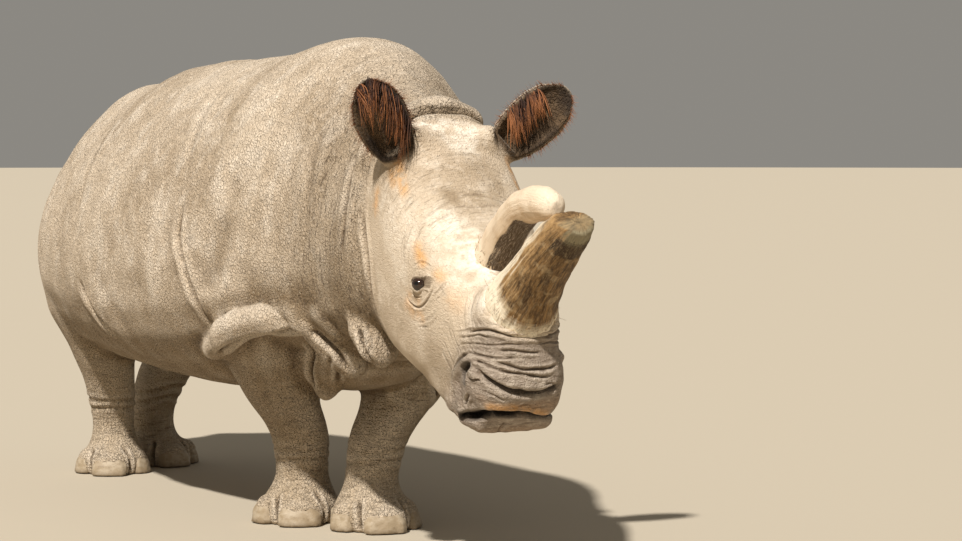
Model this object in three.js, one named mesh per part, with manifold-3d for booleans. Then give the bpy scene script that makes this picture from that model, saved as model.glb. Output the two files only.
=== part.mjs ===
// White rhinoceros, a still life-size figure: standing, head held low and turned a little to its right.
// Millimetres, +Z up. The animal faces -Y, its own left side is +X, and the floor is Z = 0.
import * as THREE from 'three';
import Module from 'manifold-3d';

const wasm = await Module();
wasm.setup();

// ---------------------------------------------------------------- driving sizes
const SEAM = 0.4;                 // gap left between neighbouring parts
const TRUNK_POINTS = 24;          // points round one ring of the trunk and neck,
const HEAD_POINTS = 24;           // of the head,
const JAW_POINTS = 14;            // of the lower jaw,
const BOSS_POINTS = 12;           // of the boss under the front horn and the fold of the brisket,
const LEG_POINTS = 12;            // of a leg or horn,
const SMALL_POINTS = 8;           // and of smaller folds, nails, ears, eyes and the tail
const HIP_SPREAD = 300;           // thigh centres, out from the middle of the body
const HIP_Y = 690;
const SHOULDER_SPREAD = 292;      // upper arm centres, out from the middle of the body
const SHOULDER_Y = -955;
const MIDDLE_Y = 911.9;           // brings the middle of the whole figure over the origin

// The head has its own frame: F runs from the crest between the ears down the forehead to the
// front horn, L to the animal's left, U out of the forehead. Its origin is between the ears.
const HEAD_ORIGIN = new THREE.Vector3(-160, -1977, 1307);
const HEAD_TURN = -6;             // degrees from straight ahead, negative to its right
const HEAD_DROP = 37.9;           // degrees the forehead slopes down
const HEAD_ROLL = 1.6;            // degrees of tilt to its right

const EYE_RADIUS = 25;
const EYE_AT = [490, 188, -150];  // F, L, U of the right and left eyes, L out from the middle

// ---------------------------------------------------------------- helpers
const radians = THREE.MathUtils.degToRad;
const v3 = (x, y, z) => new THREE.Vector3(x, y, z);

/** One closed ring in the plane of `across` and `upward`: a rounded box with its own top and bottom. */
function ring(shape, points, grow = 0) {
  const { centre, across, upward, half, top, bottom, topPower = 2, bottomPower = 2 } = shape;
  const ringPoints = [];
  for (let i = 0; i < points; i += 1) {
    const angle = (2 * Math.PI * i) / points;
    const c = Math.cos(angle);
    const s = Math.sin(angle);
    const power = 2 / (s >= 0 ? topPower : bottomPower);
    const reach = s >= 0 ? top : bottom;
    const x = (half + grow) * Math.sign(c) * Math.abs(c) ** power;
    const y = (reach + grow) * Math.sign(s) * Math.abs(s) ** power;
    ringPoints.push(centre.clone().addScaledVector(across, x).addScaledVector(upward, y));
  }
  return ringPoints;
}

/** The middle of a ring of points. */
function middleOf(points) {
  return points.reduce((sum, point) => sum.add(point), v3(0, 0, 0)).divideScalar(points.length);
}

/** The solid skinned over rings of equal count, each end closed by a fan and pushed out by `grow`. */
function skinned(rings, grow = 0) {
  const count = rings[0].length;
  const last = rings.length - 1;
  [[0, 1], [last, last - 1]].forEach(([end, inner]) => {
    const outward = middleOf(rings[end]).sub(middleOf(rings[inner])).normalize();
    rings[end].forEach((point) => point.addScaledVector(outward, grow));
  });
  const points = rings.flat();
  const triangles = [];
  for (let r = 0; r + 1 < rings.length; r += 1) {
    for (let i = 0; i < count; i += 1) {
      const next = (i + 1) % count;
      const [a, b] = [r * count + i, r * count + next];
      triangles.push(a, b, b + count, a, b + count, a + count);
    }
  }
  const closeEnd = (start, flip) => {
    points.push(middleOf(points.slice(start, start + count)));
    for (let i = 0; i < count; i += 1) {
      const next = start + ((i + 1) % count);
      triangles.push(points.length - 1, flip ? next : start + i, flip ? start + i : next);
    }
  };
  closeEnd(0, true);
  closeEnd(last * count, false);
  return toManifold(points, triangles);
}

/** A manifold from points and triangles, turned the right way out. */
function toManifold(points, triangles) {
  let sixVolumes = 0;
  for (let t = 0; t < triangles.length; t += 3) {
    const [a, b, c] = [points[triangles[t]], points[triangles[t + 1]], points[triangles[t + 2]]];
    sixVolumes += a.dot(b.clone().cross(c));
  }
  const triVerts = new Uint32Array(triangles);
  if (sixVolumes < 0) {
    for (let t = 0; t < triVerts.length; t += 3) {
      [triVerts[t + 1], triVerts[t + 2]] = [triVerts[t + 2], triVerts[t + 1]];
    }
  }
  const vertProperties = new Float32Array(points.flatMap((p) => [p.x, p.y, p.z]));
  return new wasm.Manifold(new wasm.Mesh({ numProp: 3, vertProperties, triVerts }));
}

/** A tube along a line of stations {at, wide, tall}; `side` is the way its width is measured. */
function rope(stations, side, points, grow = 0) {
  const rings = stations.map((station, i) => {
    const before = stations[Math.max(i - 1, 0)].at;
    const after = stations[Math.min(i + 1, stations.length - 1)].at;
    const along = after.clone().sub(before).normalize();
    const upward = side.clone().cross(along).normalize();
    const across = along.clone().cross(upward).normalize();
    const { at: centre, wide: half, tall } = station;
    return ring({ centre, across, upward, half, top: tall, bottom: tall }, points, grow);
  });
  return skinned(rings, grow);
}

/** Stations for `rope` from rows of [x, y, z, wide, tall], placed by `place`. */
function stations(rows, place) {
  return rows.map(([x, y, z, wide, tall]) => ({ at: place(x, y, z), wide, tall }));
}

const POLE = 0.06;                // radians from the pole to the first belt of an ellipsoid
const BELTS = 4;

/** An ellipsoid with its own three half sizes along three directions. */
function pebble(centre, axes, sizes, grow = 0) {
  const [half, tall, deep] = sizes.map((size) => size + grow);
  const rings = [];
  for (let i = 0; i <= BELTS; i += 1) {
    const angle = THREE.MathUtils.lerp(POLE, Math.PI - POLE, i / BELTS);
    const shrink = Math.sin(angle);
    rings.push(ring({
      centre: centre.clone().addScaledVector(axes[2], deep * Math.cos(angle)),
      across: axes[0], upward: axes[1],
      half: half * shrink, top: tall * shrink, bottom: tall * shrink,
    }, SMALL_POINTS));
  }
  return skinned(rings);
}

const FAR = 4000;                 // past the end of the whole figure

/** A large block, one side of a cut: `near` is the middle of its face, `outward` the way it extends. */
function halfSpace(near, outward) {
  const box = new THREE.BoxGeometry(2 * FAR, 2 * FAR, FAR);
  const turn = new THREE.Quaternion().setFromUnitVectors(v3(0, 0, 1), outward.clone().normalize());
  const corners = [];
  const found = new Map();
  const triangles = [];
  const position = box.getAttribute('position');
  for (const index of box.index.array) {
    const corner = v3().fromBufferAttribute(position, index);
    const key = corner.toArray().join();
    if (!found.has(key)) {
      found.set(key, corners.length);
      corner.z += FAR / 2;
      corners.push(corner.applyQuaternion(turn).add(near));
    }
    triangles.push(found.get(key));
  }
  return toManifold(corners, triangles);
}

/** The space ahead of (1) or behind (-1) a parting plane, which is as thick as a seam. */
function sideOf({ at, way }, side) {
  const near = side > 0 ? at : at.clone().addScaledVector(way, -SEAM);
  return halfSpace(near, way.clone().multiplyScalar(side));
}

const joined = (solids) => solids.reduce((whole, piece) => whole.add(piece));
const carved = (solid, cutters) => cutters.reduce((rest, cutter) => rest.subtract(cutter), solid);

// ---------------------------------------------------------------- trunk and neck
// One row per ring from the rump to the nape:
// Y, top Z, bottom Z, Z of the widest place, half width, X of the middle, roundness above, roundness below
const BODY_ROWS = [
  [1120, 1080, 810, 945, 90, 0, 2.0, 2.0],
  [1090, 1195, 660, 935, 222, 0, 1.85, 2.0],
  [970, 1345, 530, 910, 362, 0, 1.75, 2.2],
  [860, 1424, 485, 890, 420, 0, 1.72, 2.3],
  [730, 1488, 465, 880, 458, 0, 1.7, 2.4],
  [600, 1518, 455, 870, 480, 0, 1.7, 2.4],
  [450, 1522, 450, 860, 498, 0, 1.75, 2.4],
  [280, 1546, 440, 850, 518, 0, 1.8, 2.3],
  [80, 1582, 430, 850, 532, 0, 1.8, 2.3],
  [-150, 1588, 424, 855, 534, 0, 1.85, 2.3],
  [-400, 1586, 422, 865, 528, 0, 1.9, 2.3],
  [-620, 1592, 440, 880, 514, 0, 1.9, 2.4],
  [-800, 1604, 500, 900, 500, 0, 1.9, 2.5],
  [-960, 1632, 560, 920, 484, 0, 1.9, 2.5],
  [-1120, 1645, 590, 940, 456, 0, 1.9, 2.4],
  [-1270, 1628, 595, 955, 420, -4, 1.9, 2.3],
  [-1410, 1578, 590, 965, 384, -24, 1.85, 2.3],
  [-1550, 1514, 600, 975, 346, -54, 1.8, 2.3],
  [-1700, 1444, 630, 980, 312, -92, 1.8, 2.3],
  [-1830, 1382, 680, 980, 280, -126, 1.9, 2.2],
  [-1920, 1340, 730, 980, 245, -140, 2.1, 2.1],
  [-1985, 1260, 800, 980, 180, -152, 2.1, 2.0],
];

/** The barrel of the body and the neck in one piece. */
function buildBarrel() {
  const rings = BODY_ROWS.map(([y, top, bottom, widest, half, x, topPower, bottomPower]) => ring({
    centre: v3(x, y, widest), across: v3(1, 0, 0), upward: v3(0, 0, 1),
    half, top: top - widest, bottom: widest - bottom, topPower, bottomPower,
  }, TRUNK_POINTS));
  return skinned(rings);
}

// Loose skin: each row is X, Y, Z, half width and half height along the fold
const SHOULDER_FLAP = [
  [326, -632, 622, 16, 18], [368, -716, 590, 36, 40], [404, -820, 600, 44, 42],
  [426, -960, 645, 46, 42], [430, -1100, 688, 46, 40], [402, -1220, 715, 44, 38],
  [350, -1315, 720, 40, 36], [290, -1385, 712, 22, 20],
];
const NUCHAL_ROLL = [
  [-352, -1792, 1165, 20, 20], [-330, -1822, 1255, 46, 42], [-250, -1855, 1345, 58, 50],
  [-130, -1872, 1382, 62, 52], [-15, -1862, 1352, 54, 46], [55, -1832, 1270, 40, 36],
  [76, -1805, 1190, 18, 18],
];
const BRISKET = [
  [0, -560, 560, 100, 80], [0, -700, 562, 190, 116], [0, -850, 572, 225, 124],
  [0, -1000, 582, 232, 124], [0, -1150, 592, 222, 122], [-12, -1290, 612, 196, 116],
  [-45, -1410, 645, 156, 100], [-70, -1510, 690, 90, 70],
];
const CHEST_LOBE = [
  [-150, -1085, 680, 28, 26], [-142, -1095, 590, 48, 42], [-132, -1100, 510, 52, 44],
  [-126, -1102, 462, 40, 36], [-124, -1102, 434, 14, 14],
];
const DIAGONAL_FOLD = [
  [-345, -1370, 765, 20, 24], [-318, -1410, 720, 44, 48], [-285, -1446, 672, 54, 56],
  [-246, -1474, 622, 56, 58], [-205, -1484, 580, 50, 52], [-160, -1478, 562, 22, 24],
];
const THROAT_LOBE = [
  [-338, -1720, 780, 16, 20], [-325, -1755, 725, 36, 42], [-300, -1785, 675, 46, 52],
  [-262, -1795, 645, 44, 46], [-215, -1795, 640, 18, 20],
];

/** All the folds of loose skin, ready to join to the barrel; the shoulder has one on each side. */
function buildFolds() {
  const [ACROSS, ALONG, UP] = [v3(1, 0, 0), v3(0, 1, 0), v3(0, 0, 1)];
  const mirrored = (x, y, z) => v3(-x, y, z);
  return [
    rope(stations(SHOULDER_FLAP, v3), UP, SMALL_POINTS),
    rope(stations(SHOULDER_FLAP, mirrored), UP, SMALL_POINTS),
    rope(stations(NUCHAL_ROLL, v3), ALONG, SMALL_POINTS),
    rope(stations(BRISKET, v3), ACROSS, BOSS_POINTS),
    rope(stations(CHEST_LOBE, v3), ACROSS, SMALL_POINTS),
    rope(stations(DIAGONAL_FOLD, v3), ALONG, SMALL_POINTS),
    rope(stations(THROAT_LOBE, v3), ALONG, SMALL_POINTS),
  ];
}

// ---------------------------------------------------------------- legs
// One row per ring from the sole up: Z, share of the way from foot to shoulder or hip in X, the same
// in Y, half width across, reach to the front, reach to the back
const FRONT_LEG_ROWS = [
  [0, 0, 0, 126, 182, 92],
  [30, 0, 0, 136, 194, 100],
  [75, 0, 0, 130, 178, 102],
  [118, 0, 0, 102, 122, 98],
  [165, 0.01, 0, 87, 92, 92],
  [285, 0.09, 0.02, 98, 126, 96],
  [345, 0.22, 0.06, 105, 144, 108],
  [400, 0.4, 0.12, 116, 160, 134],
  [465, 0.57, 0.23, 129, 178, 166],
  [570, 0.82, 0.49, 138, 200, 202],
  [720, 0.97, 0.79, 138, 210, 222],
  [870, 1, 0.95, 70, 110, 120],
];
const HIND_LEG_ROWS = [
  [0, 0, 0, 116, 172, 82],
  [30, 0, 0, 126, 184, 90],
  [75, 0, 0, 120, 168, 92],
  [112, 0, 0, 94, 112, 90],
  [155, 0.02, 0.02, 81, 80, 90],
  [210, 0.04, 0.08, 80, 80, 100],
  [265, 0.08, 0.16, 86, 92, 122],
  [320, 0.14, 0.26, 93, 112, 152],
  [380, 0.22, 0.38, 99, 134, 172],
  [520, 0.5, 0.66, 126, 201, 208],
  [640, 0.76, 0.85, 152, 250, 246],
  [800, 0.95, 0.98, 162, 266, 272],
  [990, 1, 1, 90, 130, 150],
];
// Foot: the leg's own axis at the sole, X and Y, the way the toes point, in degrees out from ahead,
// and how far the shank stands aside at mid height
const FEET = {
  leg_front_right: {
    x: -84, y: -786, toeOut: 23, hip: v3(-SHOULDER_SPREAD, SHOULDER_Y, 0), rows: FRONT_LEG_ROWS, nail: 1,
    sway: v3(24, -13, 0),
  },
  leg_front_left: {
    x: 58, y: -1062, toeOut: -11, hip: v3(SHOULDER_SPREAD, SHOULDER_Y - 40, 0), rows: FRONT_LEG_ROWS,
    nail: 1, sway: v3(0, 0, 0),
  },
  leg_hind_right: {
    x: -140, y: 785, toeOut: 28, hip: v3(-HIP_SPREAD, HIP_Y, 0), rows: HIND_LEG_ROWS, nail: 0.92,
    sway: v3(0, 0, 0),
  },
  leg_hind_left: {
    x: 110, y: 950, toeOut: 0, hip: v3(HIP_SPREAD, HIP_Y, 0), rows: HIND_LEG_ROWS, nail: 0.92,
    sway: v3(-34, 18, 0),
  },
};
const STRAIGHT_ABOVE = 700;       // the turn of the foot has died away at this height

/** A leg from its flat sole to the end buried in the shoulder or hip. */
function buildLeg({ x, y, toeOut, hip, rows, sway }, grow) {
  const sideways = x < 0 ? -1 : 1;
  const rings = rows.map(([z, shareX, shareY, half, front, back]) => {
    const share = THREE.MathUtils.clamp(1 - z / STRAIGHT_ABOVE, 0, 1);
    const turn = new THREE.Quaternion().setFromAxisAngle(v3(0, 0, 1), radians(toeOut * sideways) * share);
    return ring({
      centre: v3(THREE.MathUtils.lerp(x, hip.x, shareX), THREE.MathUtils.lerp(y, hip.y, shareY), z)
        .addScaledVector(sway, Math.sin(Math.PI * (1 - share))),
      across: v3(1, 0, 0).applyQuaternion(turn), upward: v3(0, -1, 0).applyQuaternion(turn),
      half, top: front, bottom: back,
    }, LEG_POINTS, grow);
  });
  return skinned(rings, grow);
}

// Toenails: degrees round the foot from the middle toe, half width, half depth, height
const NAILS = [
  { name: 'inner', around: -56, half: 48, deep: 32, tall: 88 },
  { name: 'middle', around: 0, half: 74, deep: 32, tall: 76 },
  { name: 'outer', around: 56, half: 48, deep: 32, tall: 88 },
];
const NAIL_RINGS = [[0, 1], [0.5, 1], [1, 0.5]];   // share of the height, share of the size there
const NAIL_CLEARANCE = 3;         // the nails stop this far above the floor
const NAIL_SINK = 10;             // and their middle lies this far inside the rim of the foot,
const NAIL_LEAN = 20;             // the top this much further in

/** One toenail, set into the front of a foot. */
function buildNail(foot, nail, grow) {
  const sideways = foot.x < 0 ? -1 : 1;
  const heading = radians((foot.toeOut + nail.around) * sideways);
  const outward = v3(Math.sin(heading), -Math.cos(heading), 0);
  const across = v3(-outward.y, outward.x, 0);
  const [, , , half, front] = foot.rows[1];
  const around = radians(nail.around);
  const reach = Math.hypot(half * Math.sin(around), front * Math.cos(around)) - NAIL_SINK;
  const rings = NAIL_RINGS.map(([height, share]) => ring({
    centre: v3(foot.x, foot.y, NAIL_CLEARANCE + nail.tall * height)
      .addScaledVector(outward, reach - NAIL_LEAN * height),
    across, upward: outward, half: nail.half * share * foot.nail, top: nail.deep * share * foot.nail,
    bottom: nail.deep * share * foot.nail, topPower: 2.4, bottomPower: 2.4,
  }, SMALL_POINTS, grow));
  return skinned(rings, grow);
}

// ---------------------------------------------------------------- head
const HEAD_BASIS = (() => {
  const turn = new THREE.Matrix4().makeRotationZ(radians(HEAD_TURN));
  const drop = new THREE.Matrix4().makeRotationY(radians(HEAD_DROP));
  const roll = new THREE.Matrix4().makeRotationX(radians(HEAD_ROLL));
  const local = turn.multiply(drop).multiply(roll);
  const toBody = new THREE.Matrix4().makeBasis(v3(0, -1, 0), v3(1, 0, 0), v3(0, 0, 1));
  return toBody.multiply(local);
})();
const headWay = (f, l, u) => v3(f, l, u).applyMatrix4(HEAD_BASIS);
const headAt = (f, l, u) => headWay(f, l, u).add(HEAD_ORIGIN);
const HEAD_AXES = [headWay(1, 0, 0), headWay(0, 1, 0), headWay(0, 0, 1)];
const [FORE, LEFTWARD, OUTWARD] = HEAD_AXES;

// One row per ring of the head, from the back of the skull to the end of the upper lip:
// F, top U, bottom U, U of the widest place, half width, roundness above, roundness below
const HEAD_ROWS = [
  [-140, -60, -330, -180, 112, 2.2, 2.0],
  [-98, 5, -420, -190, 165, 2.4, 2.2],
  [-30, 64, -480, -205, 200, 2.6, 2.6],
  [42, 80, -515, -215, 218, 2.7, 2.8],
  [150, 50, -545, -221, 232, 2.8, 3.0],
  [270, 23, -554, -218, 233, 2.8, 3.0],
  [385, 3, -542, -208, 220, 2.6, 3.0],
  [490, -2, -514, -200, 199, 2.5, 3.0],
  [590, -8, -474, -199, 173, 2.4, 2.8],
  [690, -16, -425, -202, 150, 2.4, 2.6],
  [770, -22, -380, -206, 139, 2.6, 2.8],
  [845, -36, -345, -208, 132, 2.4, 3.0],
  [895, -62, -322, -206, 124, 2.4, 3.0],
  [930, -102, -302, -202, 109, 2.5, 3.0],
  [949, -138, -278, -200, 89, 2.8, 2.8],
  [956, -168, -246, -200, 62, 2.5, 2.5],
];
// The lower jaw and chin: F, top U, bottom U, half width
const JAW_ROWS = [
  [440, -330, -530, 110], [560, -310, -506, 130], [690, -285, -450, 137], [795, -275, -410, 135],
  [858, -280, -378, 135], [898, -288, -360, 132], [928, -298, -342, 118],
];

/** The head without its holes: skull and upper lip, jaw, bosses under the horns, rims and lids. */
function buildHead() {
  const skull = skinned(HEAD_ROWS.map(([f, top, bottom, widest, half, topPower, bottomPower]) => ring({
    centre: headAt(f, 0, widest), across: LEFTWARD, upward: OUTWARD,
    half, top: top - widest, bottom: widest - bottom, topPower, bottomPower,
  }, HEAD_POINTS)));
  const jaw = skinned(JAW_ROWS.map(([f, top, bottom, half]) => ring({
    centre: headAt(f, 0, (top + bottom) / 2), across: LEFTWARD, upward: OUTWARD,
    half, top: (top - bottom) / 2, bottom: (top - bottom) / 2, topPower: 3.2, bottomPower: 3.2,
  }, JAW_POINTS)));
  const frontBoss = rope(stations([
    [752, 0, -110, 124, 128], [758, 0, -60, 126, 126], [761, 0, -24, 122, 121], [764, 0, 2, 115, 114],
  ], headAt), LEFTWARD, BOSS_POINTS);
  const rearBoss = rope(stations([
    [532, 0, -70, 90, 98], [536, 0, -28, 78, 86], [540, 0, -4, 62, 66],
  ], headAt), LEFTWARD, BOSS_POINTS);
  const sides = [-1, 1].flatMap((side) => [
    pebble(headAt(455, side * 165, -160), HEAD_AXES, [78, 38, 66]),
    pebble(headAt(838, side * 106, -210), HEAD_AXES, [66, 50, 72]),
    pebble(headAt(826, side * 108, -290), HEAD_AXES, [52, 38, 50]),
    rope(stations([
      [48, side * 84, 0, 52, 80], [74, side * 158, 36, 36, 80],
    ], headAt), FORE, SMALL_POINTS),
  ]);
  return joined([skull, jaw, frontBoss, rearBoss, ...sides]);
}

// The parting planes: neck from trunk, and head from neck, the second from the nape to behind the jaw
const NECK_CUT = { at: v3(0, -1235, 1000), way: v3(0, -1, -0.22).normalize() };
const HEAD_CUT = { at: headAt(20, 0, -250), way: headWay(1, 0, 0.25).normalize() };

/** The slit of the mouth and the two nostrils, to be cut from the head. */
function buildHoles() {
  const slit = rope(stations([
    [735, -158, -382, 4, 14], [815, -142, -362, 8, 26], [892, -98, -330, 9, 36], [926, 0, -308, 9, 40],
    [892, 98, -330, 9, 36], [815, 142, -362, 8, 26], [735, 158, -382, 4, 14],
  ], headAt), OUTWARD, SMALL_POINTS);
  const nostrils = [-1, 1].map((side) => pebble(headAt(826, side * 152, -205), HEAD_AXES, [17, 34, 34]));
  return joined([slit, ...nostrils]);
}

// Horns: F, L, U of the middle line, half width across the head, half width along it
const FRONT_HORN = [
  [758, 0, -40, 104, 112], [762, 0, 0, 104, 112], [777, 0, 50, 93, 100], [800, 0, 128, 81, 86],
  [826, 0, 214, 76, 81], [866, 0, 312, 68, 72], [908, 0, 398, 57, 60], [940, 0, 458, 43, 46],
];
const REAR_HORN = [
  [538, 0, -40, 62, 66], [540, 0, 0, 61, 65], [558, 0, 80, 56, 61], [586, 0, 160, 54, 58],
  [622, 0, 236, 52, 55], [676, 0, 298, 49, 51], [737, 0, 348, 45, 47], [782, 0, 374, 35, 37],
  [802, 0, 382, 18, 20],
];

/** A horn swept along its middle line. */
function buildHorn(rows, grow) {
  return rope(stations(rows, headAt), LEFTWARD, LEG_POINTS, grow);
}

/** The slanting cut across the blunt end of the front horn. */
function buildHornCut() {
  return halfSpace(headAt(938, 0, 444), headWay(-0.35, -0.25, 1));
}

// Ears: one row per ring from root to tip: share of the length, half width, half thickness. The
// hollow is the same shape, smaller by the wall and pushed out through the open side
const EAR_LENGTH = 296;
const EAR_WALL = 12;
const EAR_PUSH = 0.55;            // of the half thickness
const EAR_STALK = 0.1;            // share of the length below the hollow
const EAR_ROWS = [
  [0, 46, 40], [0.14, 60, 48], [0.28, 75, 54], [0.45, 83, 54],
  [0.64, 84, 47], [0.82, 70, 35], [0.94, 42, 20], [1, 14, 8],
];
const EARS = {
  ear_right: { root: headAt(82, -152, -20), tip: v3(-482, -2094, 1490), faces: v3(-0.42, -0.9, 0.1) },
  ear_left: { root: headAt(70, 153, -13), tip: v3(196, -2170, 1470), faces: v3(-0.3, -0.94, 0.12) },
};

/** An ear's closed leaf shape; `wall` and `push` above 0 give its hollow. */
function buildLeaf({ root, tip, faces }, { wall = 0, push = 0, grow = 0 }) {
  const along = tip.clone().sub(root).normalize();
  const across = faces.clone().cross(along).normalize();
  const front = along.clone().cross(across).normalize();
  const rows = EAR_ROWS.filter(([share]) => wall === 0 || share > EAR_STALK);
  const rings = rows.map(([share, half, thick]) => {
    const tall = thick - wall / 2;
    return ring({
      centre: root.clone().addScaledVector(along, share * EAR_LENGTH + wall / 2)
        .addScaledVector(front, push * thick),
      across, upward: front, half: half - wall, top: tall, bottom: tall,
    }, SMALL_POINTS, grow);
  });
  return skinned(rings, grow);
}

/** A hollow ear. */
function buildEar(ear) {
  return buildLeaf(ear, {}).subtract(buildLeaf(ear, { wall: EAR_WALL, push: EAR_PUSH }));
}

// ---------------------------------------------------------------- tail
const TAIL_ROWS = [
  [0, 1010, 1150, 70, 60], [0, 1090, 1145, 62, 52], [0, 1142, 1095, 50, 44], [0, 1152, 1000, 40, 36],
  [0, 1150, 890, 32, 29], [0, 1143, 780, 27, 24], [0, 1138, 680, 30, 22], [0, 1136, 600, 26, 18],
  [0, 1136, 550, 10, 8],
];

/** The hanging tail. */
function buildTail(grow) {
  return rope(stations(TAIL_ROWS, v3), v3(1, 0, 0), SMALL_POINTS, grow);
}

// ---------------------------------------------------------------- assembly
const SKIN = { color: 0xa8977c, roughness: 0.92, metalness: 0 };
const HORN = { color: 0x9a7f60, roughness: 0.78, metalness: 0 };
const NAIL = { color: 0xb3a58d, roughness: 0.7, metalness: 0 };
const EYE = { color: 0x1a100a, roughness: 0.12, metalness: 0 };

/** A named mesh from a manifold, moved so that the whole figure stands over the origin. */
function toMesh(name, solid, look) {
  const { vertProperties, triVerts } = solid.getMesh();
  const geometry = new THREE.BufferGeometry();
  geometry.setAttribute('position', new THREE.BufferAttribute(new Float32Array(vertProperties), 3));
  geometry.setIndex(new THREE.BufferAttribute(new Uint32Array(triVerts), 1));
  geometry.translate(0, MIDDLE_Y, 0);
  geometry.computeVertexNormals();
  const mesh = new THREE.Mesh(geometry, new THREE.MeshStandardMaterial(look));
  mesh.name = name;
  return mesh;
}

/** The whole rhinoceros as named meshes. */
function buildRhinoceros() {
  const group = new THREE.Group();
  group.name = 'white_rhinoceros';
  const put = (name, solid, look) => group.add(toMesh(name, solid, look));

  const eyes = [-1, 1].map((side) => {
    const [f, l, u] = EYE_AT;
    const sizes = [EYE_RADIUS, EYE_RADIUS, EYE_RADIUS];
    const ball = (grow) => pebble(headAt(f, side * l, u), HEAD_AXES, sizes, grow);
    return { name: side < 0 ? 'eye_right' : 'eye_left', solid: ball(0), socket: ball(SEAM) };
  });
  const frontHorn = buildHorn(FRONT_HORN, 0).subtract(buildHornCut());
  const horns = [
    { name: 'horn_front', solid: frontHorn, socket: buildHorn(FRONT_HORN, SEAM) },
    { name: 'horn_rear', solid: buildHorn(REAR_HORN, 0), socket: buildHorn(REAR_HORN, SEAM) },
  ];
  const ears = Object.entries(EARS).map(([name, ear]) => ({
    name,
    solid: buildEar(ear),
    socket: buildLeaf(ear, { grow: SEAM }),
  }));
  const legs = Object.entries(FEET).map(([name, foot]) => {
    const nails = NAILS.map((nail) => ({
      name: `${name.replace('leg', 'nail')}_${nail.name}`,
      solid: buildNail(foot, nail, 0),
      socket: buildNail(foot, nail, SEAM),
    }));
    return {
      name, nails,
      solid: carved(buildLeg(foot, 0), nails.map(({ socket }) => socket)),
      socket: buildLeg(foot, SEAM),
    };
  });
  const tail = { solid: buildTail(0), socket: buildTail(SEAM) };
  const sockets = [...eyes, ...horns, ...ears, ...legs, tail].map(({ socket }) => socket);
  const flesh = carved(joined([buildBarrel(), buildHead(), ...buildFolds()]), [...sockets, buildHoles()]);
  put('trunk', flesh.intersect(sideOf(NECK_CUT, -1)), SKIN);
  put('neck', flesh.intersect(sideOf(NECK_CUT, 1)).intersect(sideOf(HEAD_CUT, -1)), SKIN);
  put('head', flesh.intersect(sideOf(HEAD_CUT, 1)), SKIN);
  legs.forEach(({ name, solid, nails }) => {
    put(name, solid, SKIN);
    nails.forEach((nail) => put(nail.name, nail.solid, NAIL));
  });
  put('tail', tail.solid, SKIN);
  ears.forEach(({ name, solid }) => put(name, solid, SKIN));
  horns.forEach(({ name, solid }) => put(name, solid, HORN));
  eyes.forEach(({ name, solid }) => put(name, solid, EYE));
  return group;
}

export default buildRhinoceros();
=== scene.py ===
"""White rhinoceros: the looks of the life-size figure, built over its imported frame.

Metres, +Z up. The animal faces -Y and its own left side is +X.
"""
import logging
import math
from dataclasses import dataclass
from enum import Enum
from typing import Callable, Sequence, Union

import bmesh
import bpy
import numpy as np
from mathutils import Matrix, Vector, noise


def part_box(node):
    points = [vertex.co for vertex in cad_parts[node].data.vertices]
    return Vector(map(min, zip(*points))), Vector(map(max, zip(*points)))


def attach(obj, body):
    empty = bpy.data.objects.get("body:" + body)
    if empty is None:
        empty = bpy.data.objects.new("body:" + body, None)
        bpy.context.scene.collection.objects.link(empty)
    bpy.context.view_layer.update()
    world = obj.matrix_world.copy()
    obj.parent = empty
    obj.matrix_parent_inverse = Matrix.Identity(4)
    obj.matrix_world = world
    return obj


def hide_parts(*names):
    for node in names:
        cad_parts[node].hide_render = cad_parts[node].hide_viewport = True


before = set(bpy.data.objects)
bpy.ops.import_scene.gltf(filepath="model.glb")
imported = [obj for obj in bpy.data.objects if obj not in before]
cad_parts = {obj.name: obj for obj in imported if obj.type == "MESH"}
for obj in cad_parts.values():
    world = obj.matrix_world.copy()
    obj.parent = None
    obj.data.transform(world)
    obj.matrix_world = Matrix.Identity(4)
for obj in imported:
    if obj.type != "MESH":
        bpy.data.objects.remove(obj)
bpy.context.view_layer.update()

LOG = logging.getLogger("rhinoceros")
Point = tuple[float, float, float]


# ---------------------------------------------------------------- places
@dataclass(frozen=True)
class Axes:
    """A placed set of three directions, in which a part's own sizes are given."""

    origin: Vector
    turn: Matrix

    def at(self, point: Point) -> Vector:
        """The place in the row frame of a point given in these axes."""
        return self.origin + self.turn @ Vector(point)

    def way(self, direction: Point) -> Vector:
        """The direction in the row frame of one given in these axes."""
        return self.turn @ Vector(direction)

    def local(self, points: np.ndarray) -> np.ndarray:
        """Points of the row frame, one per line, told in these axes."""
        return (points - np.array(self.origin)) @ np.array(self.turn)


def head_axes() -> Axes:
    """The head's own axes: forward down the face, the animal's left, and out of the forehead."""
    turn = (
        Matrix(((0, 1, 0), (-1, 0, 0), (0, 0, 1)))
        @ Matrix.Rotation(math.radians(-6.0), 3, "Z")
        @ Matrix.Rotation(math.radians(37.9), 3, "Y")
        @ Matrix.Rotation(math.radians(1.6), 3, "X")
    )
    return Axes(Vector((-0.160, -1.0651, 1.307)), turn)


BODY = Axes(Vector((0, 0, 0)), Matrix.Identity(3))
HEAD = head_axes()


def smoothstep(low: float, high: float, value: np.ndarray) -> np.ndarray:
    """0 below low, 1 above high, and a smooth rise between them."""
    share = np.clip((value - low) / (high - low), 0.0, 1.0)
    return share * share * (3 - 2 * share)


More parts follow.
